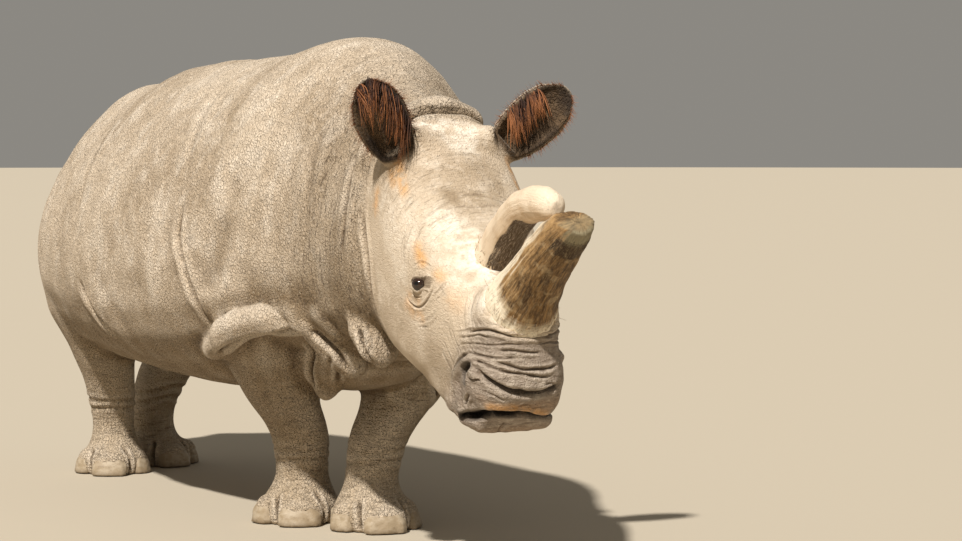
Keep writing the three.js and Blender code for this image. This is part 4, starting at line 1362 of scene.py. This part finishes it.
@dataclass(frozen=True)
class HideFinish:
    """Dry, dusty, pebbled hide, with painted shade in its creases, hollows, openings, undersides and ear cups.
    """

    base: Point = srgb(200, 181, 157)
    light: Point = srgb(220, 203, 180)
    dark: Point = srgb(158, 138, 112)
    dust: Point = srgb(232, 217, 197)
    crevice: Point = srgb(82, 64, 44)
    muzzle: Point = srgb(141, 127, 114)
    muzzle_light: Point = srgb(190, 177, 160)
    lip: Point = srgb(168, 128, 88)
    chalk: Point = srgb(244, 234, 218)
    cheek: Point = srgb(206, 188, 164)
    ochre: Point = srgb(214, 158, 92)
    soil_and_shade: Point = srgb(122, 100, 70)
    gape_and_crease_shade: Point = srgb(22, 14, 10)
    ear_shade_pale: Point = srgb(88, 68, 46)
    ear_shade_deep: Point = srgb(32, 21, 13)
    leg: Point = srgb(172, 154, 128)

    def material(self) -> bpy.types.Material:
        """Its node material."""
        g = Graph("rhinoceros_hide")
        here = g.place()
        fade = {name: g.attribute(name) for name in (
            "hollow", "ridge", "muzzle", "lip", "pale", "horn_foot", "head", "nose", "near_eye", "brow",
            "ear_hollow", "low", "under", "neck", "leg", "lid_rim", *STROKES,
        )}
        clouds = g.noise(here, 2.2, 3.0)
        blotch = g.noise(here, 9.0, 4.0, 0.6)
        patchy = g.noise(here, 28.0, 4.0, 0.65)
        grit = g.noise(here, 80.0, 4.0, 0.65)
        # plates drift a little so that they never lie in rows
        drift = g.node(
            "ShaderNodeVectorMath", {"operation": "MULTIPLY_ADD"}, {0: patchy, 1: (0.02, 0.02, 0.02), 2: here}
        )
        plates = g.cells(drift, 82.0)
        scales = g.cells(drift, 160.0)
        upright = g.noise(g.place((1, 1, 0.20)), 62.0, 3.0, 0.6)
        level = g.noise(g.place((0.16, 0.16, 1.0)), 92.0, 3.0, 0.6)
        rings = g.noise(g.attribute("ring", "Vector"), 105.0, 3.0, 0.6)
        lid_rings = g.noise(g.attribute("lid_ring", "Vector"), 150.0, 2.0, 0.5)
        body = (1 - fade["head"]).clamp()

        # colour
        hide = g.mix(clouds.step(0.35, 0.65), self.dark, self.light)
        hide = g.mix(0.55, hide, self.base)
        hide = g.mix(blotch.step(0.50, 0.68) * 0.60, hide, self.dust)
        hide = g.mix(blotch.step(0.47, 0.30) * 0.50, hide, self.dark)
        hide = g.mix(patchy.step(0.52, 0.66) * 0.30, hide, self.dust)
        hide = g.mix(fade["leg"] * 0.55, hide, self.leg)
        # painted shade, in the soil colour, on the skin that faces down
        hide = g.mix(fade["under"] * (0.55 + 0.4 * blotch) * body, hide, self.soil_and_shade)
        hide = g.mix(fade["neck"] * (0.15 + 0.35 * blotch), hide, self.soil_and_shade)
        hide = g.mix(fade["pale"] * (blotch * 0.8 + 0.35), hide, self.cheek)
        # the soil strokes: brown bands, and painted shade in creases
        hide = g.mix(fade["soil_and_shade"] * (0.35 + 0.9 * patchy), hide, self.soil_and_shade)
        hide = g.mix(fade["muzzle"] * (1.0 - 0.25 * blotch), hide, self.muzzle)
        hide = g.mix(fade["muzzle"] * patchy.step(0.50, 0.68) * 0.5, hide, self.muzzle_light)
        hide = g.mix(fade["lip"] * blotch.step(0.25, 0.55) * 0.35, hide, self.lip)
        hide = g.mix(fade["ochre"] * patchy.step(0.30, 0.55) * 0.80, hide, self.ochre)
        hide = g.mix(fade["chalk"] * (patchy.step(0.36, 0.60) * 0.62 + 0.10), hide, self.chalk)
        hide = g.mix(fade["horn_foot"] * patchy.step(0.36, 0.56) * 0.9, hide, self.chalk)
        # painted shade: the ear's cup is painted dark, in two tones that change at random
        ear_cup_shade = g.mix(blotch.step(0.35, 0.62), self.ear_shade_deep, self.ear_shade_pale)
        hide = g.mix(fade["ear_hollow"] * 0.97, hide, ear_cup_shade)
        # painted shade and dirt darken the creases, dirt the joints between plates; the tops of pebbles and
        # folds are rubbed pale
        outside_ear_cup = (1 - fade["ear_hollow"]).clamp()
        gap = plates.step(0.16, 0.01) * (0.05 + 0.17 * blotch * body) + scales.step(0.12, 0.0) * 0.07
        hide = g.mix(gap * (1 - fade["chalk"] * 0.6), hide, self.crevice)
        # painted shade and dirt in the troughs of the wrinkles on the neck, legs, brow and nose
        trough_shade_and_dirt = upright.step(0.46, 0.34) * (0.10 + 0.50 * fade["neck"]) * body
        trough_shade_and_dirt = trough_shade_and_dirt + level.step(0.46, 0.34) * fade["leg"] * 0.45
        trough_shade_and_dirt = trough_shade_and_dirt + rings.step(0.46, 0.34) * (fade["brow"] * 0.32 + fade["nose"] * 0.40)
        hide = g.mix((trough_shade_and_dirt * outside_ear_cup).clamp(), hide, self.crevice)
        # painted shade and dirt in the skin's hollows
        hide = g.mix(fade["hollow"] * 0.60, hide, self.crevice)
        hide = g.mix(fade["ridge"] * outside_ear_cup * (0.35 - 0.15 * fade["muzzle"]), hide, self.dust)
        hide = g.mix(grit.step(0.56, 0.72) * outside_ear_cup * 0.30, hide, self.dust)
        hide = g.mix(grit.step(0.44, 0.28) * 0.22, hide, self.dark)
        hide = g.mix(fade["lid_rim"] * 0.80, hide, self.crevice)
        # painted shade in the mouth's gap, the nostrils and the deepest folds of the muzzle
        hide = g.mix(fade["gape_and_crease_shade"], hide, self.gape_and_crease_shade)

        # relief: plates, wrinkles that follow each part, and fine grain
        pebbly = (body * 0.80 + fade["low"] * 0.20 + 0.20) * (0.45 + 0.9 * blotch)
        normal = g.bump(plates.step(0.0, 0.26) * pebbly, 0.0042)
        wrinkle = upright * (body * 0.30 + fade["neck"] * 0.70) + level * fade["leg"] * 0.9
        wrinkle = wrinkle + rings * (fade["brow"] * 0.55 + fade["nose"] * 0.45 + 0.15 * fade["head"])
        normal = g.bump(wrinkle, 0.0110, normal)
        normal = g.bump(lid_rings * fade["near_eye"], 0.0016, normal)
        normal = g.bump(scales.step(0.0, 0.30) * 0.6, 0.0014, normal)
        normal = g.bump(grit * (0.7 + fade["muzzle"] * 0.6), 0.0024, normal)
        return g.finish({
            "Base Color": hide, "Roughness": 0.86, "Specular IOR Level": 0.28, "Normal": normal,
        })


# ---------------------------------------------------------------- horns
@dataclass(frozen=True)
class HornFinish:
    """Matted horn fibre: streaks along the horn, worn pale in places with a painted highlight on the side the
    light falls on, frayed and painted dark with shade on its underside.
    """

    name: str
    brown: Point = srgb(146, 112, 68)
    deep: Point = srgb(74, 52, 28)
    straw: Point = srgb(206, 180, 138)
    worn_and_highlight: Point = srgb(240, 226, 200)
    tint: Point = srgb(196, 156, 104)
    frayed_and_shade: Point = srgb(66, 46, 26)
    face: Point = srgb(150, 140, 112)
    coarse: float = 1.0

    def material(self) -> bpy.types.Material:
        """Its node material."""
        g = Graph(self.name)
        fibre = g.attribute("fibre", "Vector")
        worn_and_highlight, shade, tint, face = (g.attribute(name) for name in ("worn_and_highlight", "underside", "tint", "face"))
        here = g.place()
        streak = g.noise(fibre, 9.0, 6.0, 0.7)
        thread = g.noise(fibre, 34.0, 4.0, 0.7)
        blotch = g.noise(here, 16.0, 4.0, 0.6)
        speck = g.noise(here, 70.0, 4.0, 0.65)
        colour = g.mix(streak.step(0.38, 0.62) * self.coarse + (1 - self.coarse), self.deep, self.brown)
        colour = g.mix(thread.step(0.50, 0.72) * 0.55, colour, self.straw)
        colour = g.mix(blotch.step(0.52, 0.66) * 0.50, colour, self.straw)
        colour = g.mix(blotch.step(0.46, 0.34) * 0.55 * self.coarse, colour, self.deep)
        colour = g.mix(tint * blotch.step(0.30, 0.60) * 0.8, colour, self.tint)
        colour = g.mix((worn_and_highlight * 1.5 + blotch * 0.8 - 0.65).clamp(), colour, self.worn_and_highlight)
        colour = g.mix(speck.step(0.44, 0.30) * 0.35 * self.coarse, colour, self.deep)
        # the frayed underside, painted dark as shade as well, has a torn edge
        torn_and_shaded = (shade + (thread - 0.5) * 0.9 + (blotch - 0.5) * 0.5).step(0.46, 0.58)
        frayed_and_shade = g.mix(thread.step(0.45, 0.70) * 0.55, self.frayed_and_shade, self.straw)
        colour = g.mix(torn_and_shaded * 0.95, colour, frayed_and_shade)
        colour = g.mix(thread.step(0.46, 0.30) * 0.45 * self.coarse, colour, self.deep)
        colour = g.mix(face * 0.9, colour, self.face)
        normal = g.bump(streak, 0.0070 * self.coarse + 0.0010)
        normal = g.bump(thread * (0.35 + torn_and_shaded), 0.0040, normal)
        normal = g.bump(speck, 0.0020, normal)
        return g.finish({
            "Base Color": colour, "Roughness": 0.72, "Specular IOR Level": 0.35, "Normal": normal,
        })


@dataclass
class Horn:
    """One horn of matted fibre.

    Attributes:
        node: its CAD node.
        spine: points of its middle line, in the head's axes.
        finish: its colours.
        marks: how much of each mark it takes, from place along (0 to 1) and normal in the head's axes.
        lump: how high its lumps are.
        groove: how deep its grooves are.
    """

    node: str
    spine: tuple[Point, ...]
    finish: HornFinish
    marks: dict[str, Callable[[np.ndarray, np.ndarray], np.ndarray]]
    lump: float = 0.004
    groove: float = 0.0030

    def build(self) -> bpy.types.Object:
        """The horn, grooved and lumpy."""
        horn = new_object(f"{self.node}_fibre", cad_copy([self.node], 0.0015))
        voxelled(horn, 0.0045)
        mesh = horn.data
        points = softened(mesh, 9.0)
        set_places(mesh, points)
        ring, share = self._round_spine(points)
        out = normals(mesh)
        rise = np.empty(len(points))
        for i, point in enumerate(points):
            x, y, t = ring[i, 0], ring[i, 1], share[i]
            groove = noise.noise(Vector((x * 5.0, y * 5.0, t * 2.0)))
            fibre = noise.noise(Vector((x * 15.0, y * 15.0, t * 4.0 + 7)))
            lump = noise.noise(Vector(point / 0.055))
            rise[i] = groove * self.groove + fibre * self.groove * 0.5 + lump * self.lump
        set_places(mesh, points + out * rise[:, None])
        out = HEAD.local(normals(mesh) + np.array(HEAD.origin))
        set_attribute(mesh, "fibre", np.column_stack([ring * 0.9, share * 0.9]))
        for name, mark in self.marks.items():
            set_attribute(mesh, name, np.clip(mark(share, out), 0, 1))
        shade_smooth(horn)
        return horn

    def _round_spine(self, points: np.ndarray) -> tuple[np.ndarray, np.ndarray]:
        """Where points lie round the middle line and along it.

        Args:
            points: places on the horn.

        Returns:
            A unit pair per point for the way it lies from the middle line, and its share of the length.
        """
        path = smooth_path([HEAD.at(p) for p in self.spine], 0.01)
        which = np.concatenate([
            np.linalg.norm(part[:, None] - path[None], axis=2).argmin(1)
            for part in np.array_split(points, max(1, len(points) // 2000))
        ])
        tangent = np.gradient(path, axis=0)
        tangent /= np.linalg.norm(tangent, axis=1)[:, None]
        aside = np.array(HEAD.way((0, 1, 0)))
        first = aside - tangent * (tangent @ aside)[:, None]
        first /= np.linalg.norm(first, axis=1)[:, None]
        second = np.cross(tangent, first)
        gap = points - path[which]
        pair = np.column_stack([
            np.einsum("ij,ij->i", gap, first[which]), np.einsum("ij,ij->i", gap, second[which])
        ])
        pair /= np.maximum(np.linalg.norm(pair, axis=1), 1e-6)[:, None]
        return pair, which / (len(path) - 1)

    def dress(self, horn: bpy.types.Object) -> None:
        """Gives the horn its material and its place in the frame."""
        horn.data.materials.append(self.finish.material())
        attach(horn, "root")
        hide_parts(self.node)


# ---------------------------------------------------------------- nails
@dataclass(frozen=True)
class NailFinish:
    """Worn, chalky toenail."""

    pale: Point = srgb(172, 157, 134)
    tan: Point = srgb(148, 130, 104)
    dirt: Point = srgb(96, 78, 55)

    def material(self) -> bpy.types.Material:
        """Its node material."""
        g = Graph("toenail")
        bands = g.noise(g.place((0.8, 0.8, 1.4)), 30.0, 4.0, 0.6)
        specks = g.noise(g.place(), 90.0, 4.0, 0.65)
        low = g.attribute("height")
        colour = g.mix(bands.step(0.38, 0.62) * 0.8, self.tan, self.pale)
        colour = g.mix(specks.step(0.55, 0.72) * 0.40, colour, self.dirt)
        colour = g.mix(low.step(0.22, 0.0) * 0.70, colour, self.dirt)
        normal = g.bump(bands, 0.0020)
        normal = g.bump(specks, 0.0008, normal)
        return g.finish({"Base Color": colour, "Roughness": 0.62, "Normal": normal})


@dataclass
class Nails:
    """The three nails of one foot."""

    foot: str
    toes: tuple[str, ...] = ("inner", "middle", "outer")

    @property
    def nodes(self) -> list[str]:
        """Their CAD nodes."""
        return [f"nail_{self.foot}_{toe}" for toe in self.toes]

    def build(self) -> bpy.types.Object:
        """The nails as smooth rounded plates in one piece."""
        nails = new_object(f"nails_{self.foot}", cad_copy(self.nodes, 0.0018))
        voxelled(nails, 0.0038)
        mesh = nails.data
        points = softened(mesh, 12.0)
        set_places(mesh, points)
        out = normals(mesh)
        rise = np.array([noise.noise(Vector(p / 0.020)) * 0.0016 for p in points])
        points = points + out * rise[:, None]
        points[:, 2] = np.maximum(points[:, 2], 0.001)
        set_places(mesh, points)
        set_attribute(mesh, "height", points[:, 2] / 0.12)
        shade_smooth(nails)
        return nails

    def dress(self, nails: bpy.types.Object, finish: bpy.types.Material) -> None:
        """Gives the nails their material and their place in the frame."""
        nails.data.materials.append(finish)
        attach(nails, "root")
        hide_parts(*self.nodes)


@dataclass(frozen=True)
class EyeFinish:
    """A dark wet eye with a brown iris."""

    pupil: Point = srgb(8, 6, 5)
    iris: Point = srgb(62, 38, 20)
    white: Point = srgb(38, 26, 20)

    def material(self) -> bpy.types.Material:
        """Its node material."""
        g = Graph("eyeball")
        look = g.attribute("look")
        rays = g.noise(g.place(), 240.0, 3.0)
        iris = g.mix(rays, self.pupil, self.iris)
        colour = g.mix(look.step(0.24, 0.30), self.pupil, iris)
        colour = g.mix(look.step(0.62, 0.72), colour, self.white)
        return g.finish({
            "Base Color": colour, "Roughness": 0.08, "Coat Weight": 0.6, "Coat Roughness": 0.04,
        })


# ---------------------------------------------------------------- bristles
@dataclass(frozen=True)
class Bristle:
    """One tuft of hair: where it grows, the way it goes, how it hangs, and its place on the bake map."""

    root: Vector
    way: Vector
    length: float
    thick: float
    drop: Vector
    patch: tuple[float, float]
    tint: float = 0.5


@dataclass(frozen=True)
class BristleFinish:
    """Coarse hair."""

    name: str
    root: Point = srgb(46, 26, 16)
    middle: Point = srgb(86, 50, 30)
    end: Point = srgb(182, 118, 72)

    def material(self) -> bpy.types.Material:
        """Its node material."""
        g = Graph(self.name)
        tint = g.attribute("tint")
        along = g.attribute("along")
        colour = g.mix((along * 0.7 + tint * 1.1 - 0.35).clamp(), self.root, self.middle)
        colour = g.mix((along * 0.8 + tint * 1.3 - 1.0).clamp(), colour, self.end)
        return g.finish({"Base Color": colour, "Roughness": 0.6, "Specular IOR Level": 0.3})


@dataclass
class Bristles:
    """A piece made of many thin tapered tufts."""

    name: str
    tufts: list[Bristle]
    finish: BristleFinish
    slot: str = "skin"
    rings: int = 5

    def _template(self) -> bpy.types.Mesh:
        """A tapered three-sided spike one unit long along +Z."""
        bm = bmesh.new()
        bmesh.ops.create_circle(bm, cap_ends=True, segments=3, radius=1.0)
        bm.faces.ensure_lookup_table()
        face = bm.faces[0]
        for i in range(self.rings):
            face = bmesh.ops.extrude_discrete_faces(bm, faces=[face])["faces"][0]
            share = (i + 1) / self.rings
            middle = face.calc_center_median()
            for vert in face.verts:
                vert.co = (vert.co - middle) * (0.88 if i < 2 else 0.62)
                vert.co.z = share
        bmesh.ops.recalc_face_normals(bm, faces=bm.faces)
        mesh = bpy.data.meshes.new("tuft")
        bm.to_mesh(mesh)
        bm.free()
        return mesh

    def build(self) -> bpy.types.Object:
        """All the tufts in one mesh, each with its own small patch of the OFBake map."""
        template = self._template()
        bm = bmesh.new()
        for _ in self.tufts:
            bm.from_mesh(template)
        made = new_object(self.name, bm)
        count = len(template.vertices)
        unit = places(template)
        points = np.empty((len(self.tufts) * count, 3))
        share = np.tile(unit[:, 2], len(self.tufts))
        for i, tuft in enumerate(self.tufts):
            way = tuft.way.normalized()
            side = way.orthogonal().normalized()
            cross = way.cross(side)
            z = unit[:, 2][:, None]
            line = np.array(way) * z + np.array(tuft.drop) * z * z
            line += np.array(side) * 0.06 * np.sin(z * 5 + 9 * tuft.tint)
            flat = np.outer(unit[:, 0], side) + np.outer(unit[:, 1], cross)
            points[i * count:(i + 1) * count] = np.array(tuft.root) + line * tuft.length + flat * tuft.thick
        set_places(made.data, points)
        set_attribute(made.data, "along", share)
        set_attribute(made.data, "tint", np.repeat([tuft.tint for tuft in self.tufts], count))
        self._map(made.data, count, unit)
        bpy.data.meshes.remove(template)
        shade_smooth(made)
        return made

    def _map(self, mesh: bpy.types.Mesh, count: int, unit: np.ndarray) -> None:
        """Lays each tuft on a patch of the OFBake map beside its neighbours."""
        layer = mesh.uv_layers.new(name="OFBake")
        corners = np.empty(len(mesh.loops), np.int64)
        mesh.loops.foreach_get("vertex_index", corners)
        patch = np.array([tuft.patch for tuft in self.tufts])[corners // count]
        which = corners % count
        spot = np.column_stack([unit[which, 0] * 0.25 + 0.25, unit[which, 2]]) * 0.003
        layer.data.foreach_set("uv", (patch + spot).astype(np.float32).ravel())

    def dress(self, made: bpy.types.Object) -> None:
        """Gives the tufts their material and their place in the frame."""
        made.data.materials.append(self.finish.material())
        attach(made, "root")


@dataclass
class EarFringe:
    """The hair round an ear: clumps hang over the side nearer the crest, short hair lines the rim.

    Attributes:
        ear: the ear.
        hand: -1 on the animal's right, 1 on its left.
        hang: the stretch of the rim with clumps, from the tip (0) to the root (1) of the nearer side.
        reach: the shortest and longest clump.
        seed: of its random numbers.
        rim_hairs: how many hairs line the rim, before those with no skin near are left out.
        clumps: how many clumps hang.
    """

    ear: Ear
    hand: int
    hang: tuple[float, float]
    reach: tuple[float, float]
    seed: int
    rim_hairs: int = 480
    clumps: int = 52

    def tufts(self, skin: bpy.types.Object) -> list[Bristle]:
        """The tufts, rooted on the skin."""
        rng = np.random.default_rng(self.seed)
        found = [self._rim_hair(skin, rng, rng.uniform(-1, 1)) for _ in range(self.rim_hairs)]
        low, high = self.hang
        for _ in range(self.clumps):
            found += self._clump(skin, rng, rng.uniform(low, high))
        return [tuft for tuft in found if tuft is not None]

    def _rooted(
        self, skin: bpy.types.Object, place: float, inset: float
    ) -> Union[tuple[Vector, Vector], None]:
        """The root and normal of a hair on the rim.

        Args:
            skin: the hide.
            place: along the rim, 0 at the tip, 1 at the foot on the crest's side, -1 on the other.
            inset: how far inside the rim, as a share of the half width.

        Returns:
            Its root and the skin's normal, or None where the skin is too far.
        """
        share = 1.0 - abs(place) ** 1.4 * 0.80
        # the crest lies on the left of the right ear and on the right of the left one
        inner = HEAD.way((0, -self.hand, 0)).dot(self.ear.axes.way((1, 0, 0)))
        across = math.copysign(1, place) * math.copysign(1, inner)
        across *= float(self.ear.half_width(np.array(share))) * (1 - inset)
        guess = self.ear.axes.at((across, share * self.ear.length, 0.016))
        hit, root, out, _ = skin.closest_point_on_mesh(guess)
        if not hit or (root - guess).length > 0.04:
            return None
        return root, out

    def _patch(self, place: float, rng: np.random.Generator) -> tuple[float, float]:
        """A hair's place on the bake map."""
        return 0.05 + 0.9 * (place + 1) / 2, (0.1 if self.hand < 0 else 0.6) + 0.3 * rng.random()

    def _rim_hair(
        self, skin: bpy.types.Object, rng: np.random.Generator, place: float
    ) -> Union[Bristle, None]:
        """One short hair standing off the rim."""
        rooted = self._rooted(skin, place, rng.uniform(-0.02, 0.05))
        if rooted is None:
            return None
        root, out = rooted
        away = root - self.ear.axes.at((0, self.ear.length * (1.0 - abs(place) * 0.6), 0))
        way = away.normalized() + 0.3 * out + 0.28 * Vector(rng.normal(size=3))
        length = rng.uniform(0.010, 0.034) * rng.uniform(0.5, 1.0)
        drop = Vector((0, 0, rng.uniform(-0.35, 0.15)))
        return Bristle(root - out * 0.002, way, length, rng.uniform(0.0004, 0.0008), drop,
                       self._patch(place, rng), rng.uniform(0.45, 1.0))

    def _clump(self, skin: bpy.types.Object, rng: np.random.Generator, place: float) -> list[Bristle]:
        """A hanging clump of five hairs that share a lie and a tint."""
        axes = self.ear.axes
        rooted = self._rooted(skin, place, rng.uniform(0.02, 0.30))
        if rooted is None:
            return []
        root, out = rooted
        into = axes.at((0, axes.local(np.array([root]))[0, 1], 0.03)) - root
        lean = into.normalized() * rng.uniform(0.15, 0.45) + axes.way((0, 0, 0.35))
        length = rng.uniform(*self.reach)
        tint = rng.choice((0.15, 0.45, 0.7, 0.95)) + rng.uniform(-0.08, 0.08)
        patch = self._patch(place, rng)
        found = []
        for _ in range(5):
            stray = Vector(rng.normal(size=3))
            way = lean + Vector((0, 0, -0.35)) + 0.10 * stray
            drop = Vector((0, 0, -rng.uniform(0.50, 0.75)))
            found.append(Bristle(root - out * 0.003 + 0.0022 * stray, way, length * rng.uniform(0.75, 1.05),
                                 rng.uniform(0.0012, 0.0024), drop, patch, float(np.clip(tint, 0, 1))))
        return found


def tail_tufts(skin: bpy.types.Object) -> list[Bristle]:
    """The two rows of coarse hair at the end of the tail."""
    rng = np.random.default_rng(5)
    low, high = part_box("tail")
    found = []
    for _ in range(260):
        height = low.z + rng.uniform(0.0, 0.20)
        hand = rng.choice((-1, 1))
        guess = Vector((hand * 0.03, (low.y + high.y) / 2 + 0.07, height))
        _, root, out, _ = skin.closest_point_on_mesh(guess)
        way = Vector((hand * 0.5, 0.1, -0.8)) + 0.2 * Vector(rng.normal(size=3))
        patch = (0.5 + 0.2 * hand + 0.1 * rng.random(), (height - low.z) / 0.25)
        length = rng.uniform(0.04, 0.08)
        found.append(Bristle(root - out * 0.002, way, length, rng.uniform(0.001, 0.002),
                             Vector((0, 0, -0.3)), patch))
    return found


def horn_frays(horn: bpy.types.Object, rng: np.random.Generator) -> list[Bristle]:
    """Loose fibres standing off a horn's foot."""
    points, out = places(horn.data), normals(horn.data)
    head = HEAD.local(points)
    low = np.nonzero(head[:, 2] < head[:, 2].min() + 0.075)[0]
    up = HEAD.way((0.1, 0, 1))
    found = []
    for i in rng.choice(low, 300):
        way = up * 0.8 + Vector(out[i]) * 0.35 + 0.25 * Vector(rng.normal(size=3))
        around_foot = math.atan2(head[i, 1], head[i, 0] - head[:, 0].mean()) / math.tau + 0.5
        patch = (0.02 + 0.95 * around_foot, 0.05 + 0.9 * rng.random())
        found.append(Bristle(Vector(points[i]), way, rng.uniform(0.010, 0.024), 0.0007,
                             -0.5 * Vector(out[i]) + 0.5 * Vector(rng.normal(size=3)), patch, rng.random()))
    return found


# ---------------------------------------------------------------- studio
@dataclass(frozen=True)
class Studio:
    """The camera, the light and the floor.

    Attributes:
        eye_point: where the camera stands.
        heading: how far it looks round from +Y towards +X.
        pitch: how far it looks down.
        lens: its focal length in millimetres.
        sun_from: the way to the sun.
        sun: the sun's strength.
        haze: the strength of the light from all round.
    """

    eye_point: Point = (-4.06, -8.4083, 1.33)
    heading: float = math.radians(28.8)
    pitch: float = math.radians(2.91)
    lens: float = 103.3
    sun_from: Point = (-0.508, -0.426, 0.748)
    sun: float = 5.2
    haze: float = 0.26

    def build(self) -> None:
        """Places everything that isn't part of the animal."""
        scene = bpy.context.scene
        scene.view_settings.view_transform = "Standard"
        lens = bpy.data.cameras.new("camera")
        lens.lens = self.lens
        lens.sensor_width = 36.0
        lens.clip_end = 300.0
        camera = bpy.data.objects.new("camera", lens)
        camera.location = self.eye_point
        camera.rotation_euler = (math.pi / 2 - self.pitch, 0, -self.heading)
        scene.collection.objects.link(camera)
        scene.camera = camera

        light = bpy.data.lights.new("sun", "SUN")
        light.energy = self.sun
        light.color = (1.0, 0.965, 0.915)
        light.angle = math.radians(2)
        sun = bpy.data.objects.new("sun", light)
        sun.rotation_euler = Vector(self.sun_from).to_track_quat("Z", "Y").to_euler()
        scene.collection.objects.link(sun)

        world = bpy.data.worlds.new("studio")
        world.use_nodes = True
        backdrop = world.node_tree.nodes["Background"].inputs
        backdrop["Color"].default_value = (1.0, 0.95, 0.86, 1)
        backdrop["Strength"].default_value = self.haze
        scene.world = world

        bm = bmesh.new()
        bmesh.ops.create_circle(bm, cap_ends=True, segments=96, radius=90.0)
        floor = new_object("floor", bm)
        g = Graph("studio_floor")
        floor.data.materials.append(g.finish({"Base Color": srgb(184, 173, 154), "Roughness": 0.9}))


# ---------------------------------------------------------------- the animal
def build_horns() -> list[bpy.types.Object]:
    """Builds both horns and their loose fibres."""
    front = Horn(
        "horn_front",
        ((0.758, 0, -0.040), (0.762, 0, 0), (0.777, 0, 0.050), (0.800, 0, 0.128), (0.826, 0, 0.214),
         (0.866, 0, 0.312), (0.908, 0, 0.398), (0.940, 0, 0.458)),
        HornFinish("front_horn_fibre"),
        {
            # worn pale at the foot, and a painted highlight down the edge that faces back
            "worn_and_highlight": lambda share, out: 0.9 * smoothstep(0.10, -0.55, out[:, 0]) * smoothstep(0.95, 0.6, share)
            + 0.8 * smoothstep(0.36, 0.12, share) * smoothstep(0.85, 0.1, out[:, 0])
            + 0.9 * smoothstep(0.24, 0.10, share),
            "tint": lambda share, out: smoothstep(0.5, -0.2, out[:, 0]) + 0.6 * smoothstep(0.85, 0.95, share),
            # painted shade and frayed fibre on the side that faces forward
            "underside": lambda share, out: 0.62 * smoothstep(0.76, 0.82, share)
            * smoothstep(0.93, 0.88, share) * smoothstep(0.1, 0.6, out[:, 0])
            + 0.35 * smoothstep(0.3, 0.9, out[:, 0]),
            "face": lambda share, out: smoothstep(0.90, 0.95, share) * smoothstep(0.35, 0.75, out[:, 2]) * 0.5
            + smoothstep(0.88, 0.93, share) * smoothstep(0.45, 0.75, out[:, 0]),
        },
    )
    rear = Horn(
        "horn_rear",
        ((0.538, 0, -0.040), (0.540, 0, 0), (0.558, 0, 0.080), (0.586, 0, 0.160), (0.622, 0, 0.236),
         (0.676, 0, 0.298), (0.737, 0, 0.348), (0.782, 0, 0.374), (0.802, 0, 0.382)),
        HornFinish(
            "rear_horn_fibre", brown=srgb(212, 184, 150), deep=srgb(168, 134, 96), straw=srgb(228, 206, 178),
            worn_and_highlight=srgb(238, 222, 198), tint=srgb(222, 172, 118), coarse=0.3,
        ),
        {
            # worn pale at the foot, and a painted highlight on the top
            "worn_and_highlight": lambda share, out: 0.62 * smoothstep(-0.7, 0.4, out[:, 2])
            + 0.4 * smoothstep(0.25, 0.05, share),
            "tint": lambda share, out: smoothstep(-0.1, -0.8, out[:, 0]) * smoothstep(0.95, 0.7, share),
            # painted shade and frayed fibre where it faces forward and down
            "underside": lambda share, out: smoothstep(0.45, 0.85, out[:, 0] * 0.8 - 0.6 * out[:, 2])
            * smoothstep(0.02, 0.08, share) * smoothstep(0.74, 0.56, share),
            "face": lambda share, out: np.zeros(len(share)),
        },
        lump=0.003, groove=0.0012,
    )
    rng = np.random.default_rng(11)
    made, frays = [], []
    for horn in (front, rear):
        piece = horn.build()
        horn.dress(piece)
        made.append(piece)
        frays += horn_frays(piece, rng)
    fibre = BristleFinish("loose_fibre", srgb(120, 88, 54), srgb(186, 150, 104), srgb(232, 208, 168))
    loose = Bristles("horn_frays", frays, fibre, slot="horn", rings=3)
    tufts = loose.build()
    loose.dress(tufts)
    return [*made, tufts]


def main() -> None:
    """Builds the animal and the studio in order and reports each piece."""
    logging.basicConfig(level=logging.INFO, format="%(name)s: %(message)s")
    Studio().build()
    eyes = (Eye("eye_right", -1), Eye("eye_left", 1))
    ears = (
        Ear("ear_right", (0.082, -0.152, -0.020), (-0.482, -1.1821, 1.490), (-0.42, -0.9, 0.1)),
        Ear("ear_left", (0.070, 0.153, -0.013), (0.196, -1.2581, 1.470), (-0.3, -0.94, 0.12)),
    )
    hide = Hide(eyes, ears)
    skin = hide.build()
    hide.dress(skin)
    made = [skin, *build_horns()]

    wet = EyeFinish().material()
    for eye in eyes:
        ball = eye.build()
        ball.data.materials.append(wet)
        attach(ball, "root")
        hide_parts(eye.node)
        made.append(ball)
    plate = NailFinish().material()
    for foot in FEET:
        nails = Nails(foot)
        piece = nails.build()
        nails.dress(piece, plate)
        made.append(piece)
    hair = BristleFinish("ear_hair")
    dark = BristleFinish("tail_hair", srgb(36, 28, 22), srgb(64, 50, 38), srgb(96, 78, 58))
    groups = (
        ("ear_fringe_right", EarFringe(ears[0], -1, (-0.22, 0.86), (0.045, 0.095), 3).tufts(skin), hair),
        ("ear_fringe_left", EarFringe(ears[1], 1, (0.40, 0.84), (0.035, 0.085), 4).tufts(skin), hair),
        ("tail_brush", tail_tufts(skin), dark),
    )
    for name, tufts, finish in groups:
        bristles = Bristles(name, tufts, finish)
        piece = bristles.build()
        bristles.dress(piece)
        made.append(piece)
    for piece in made:
        LOG.info("%s: %d triangles", piece.name, triangles(piece.data))


if __name__ == "__main__":
    main()
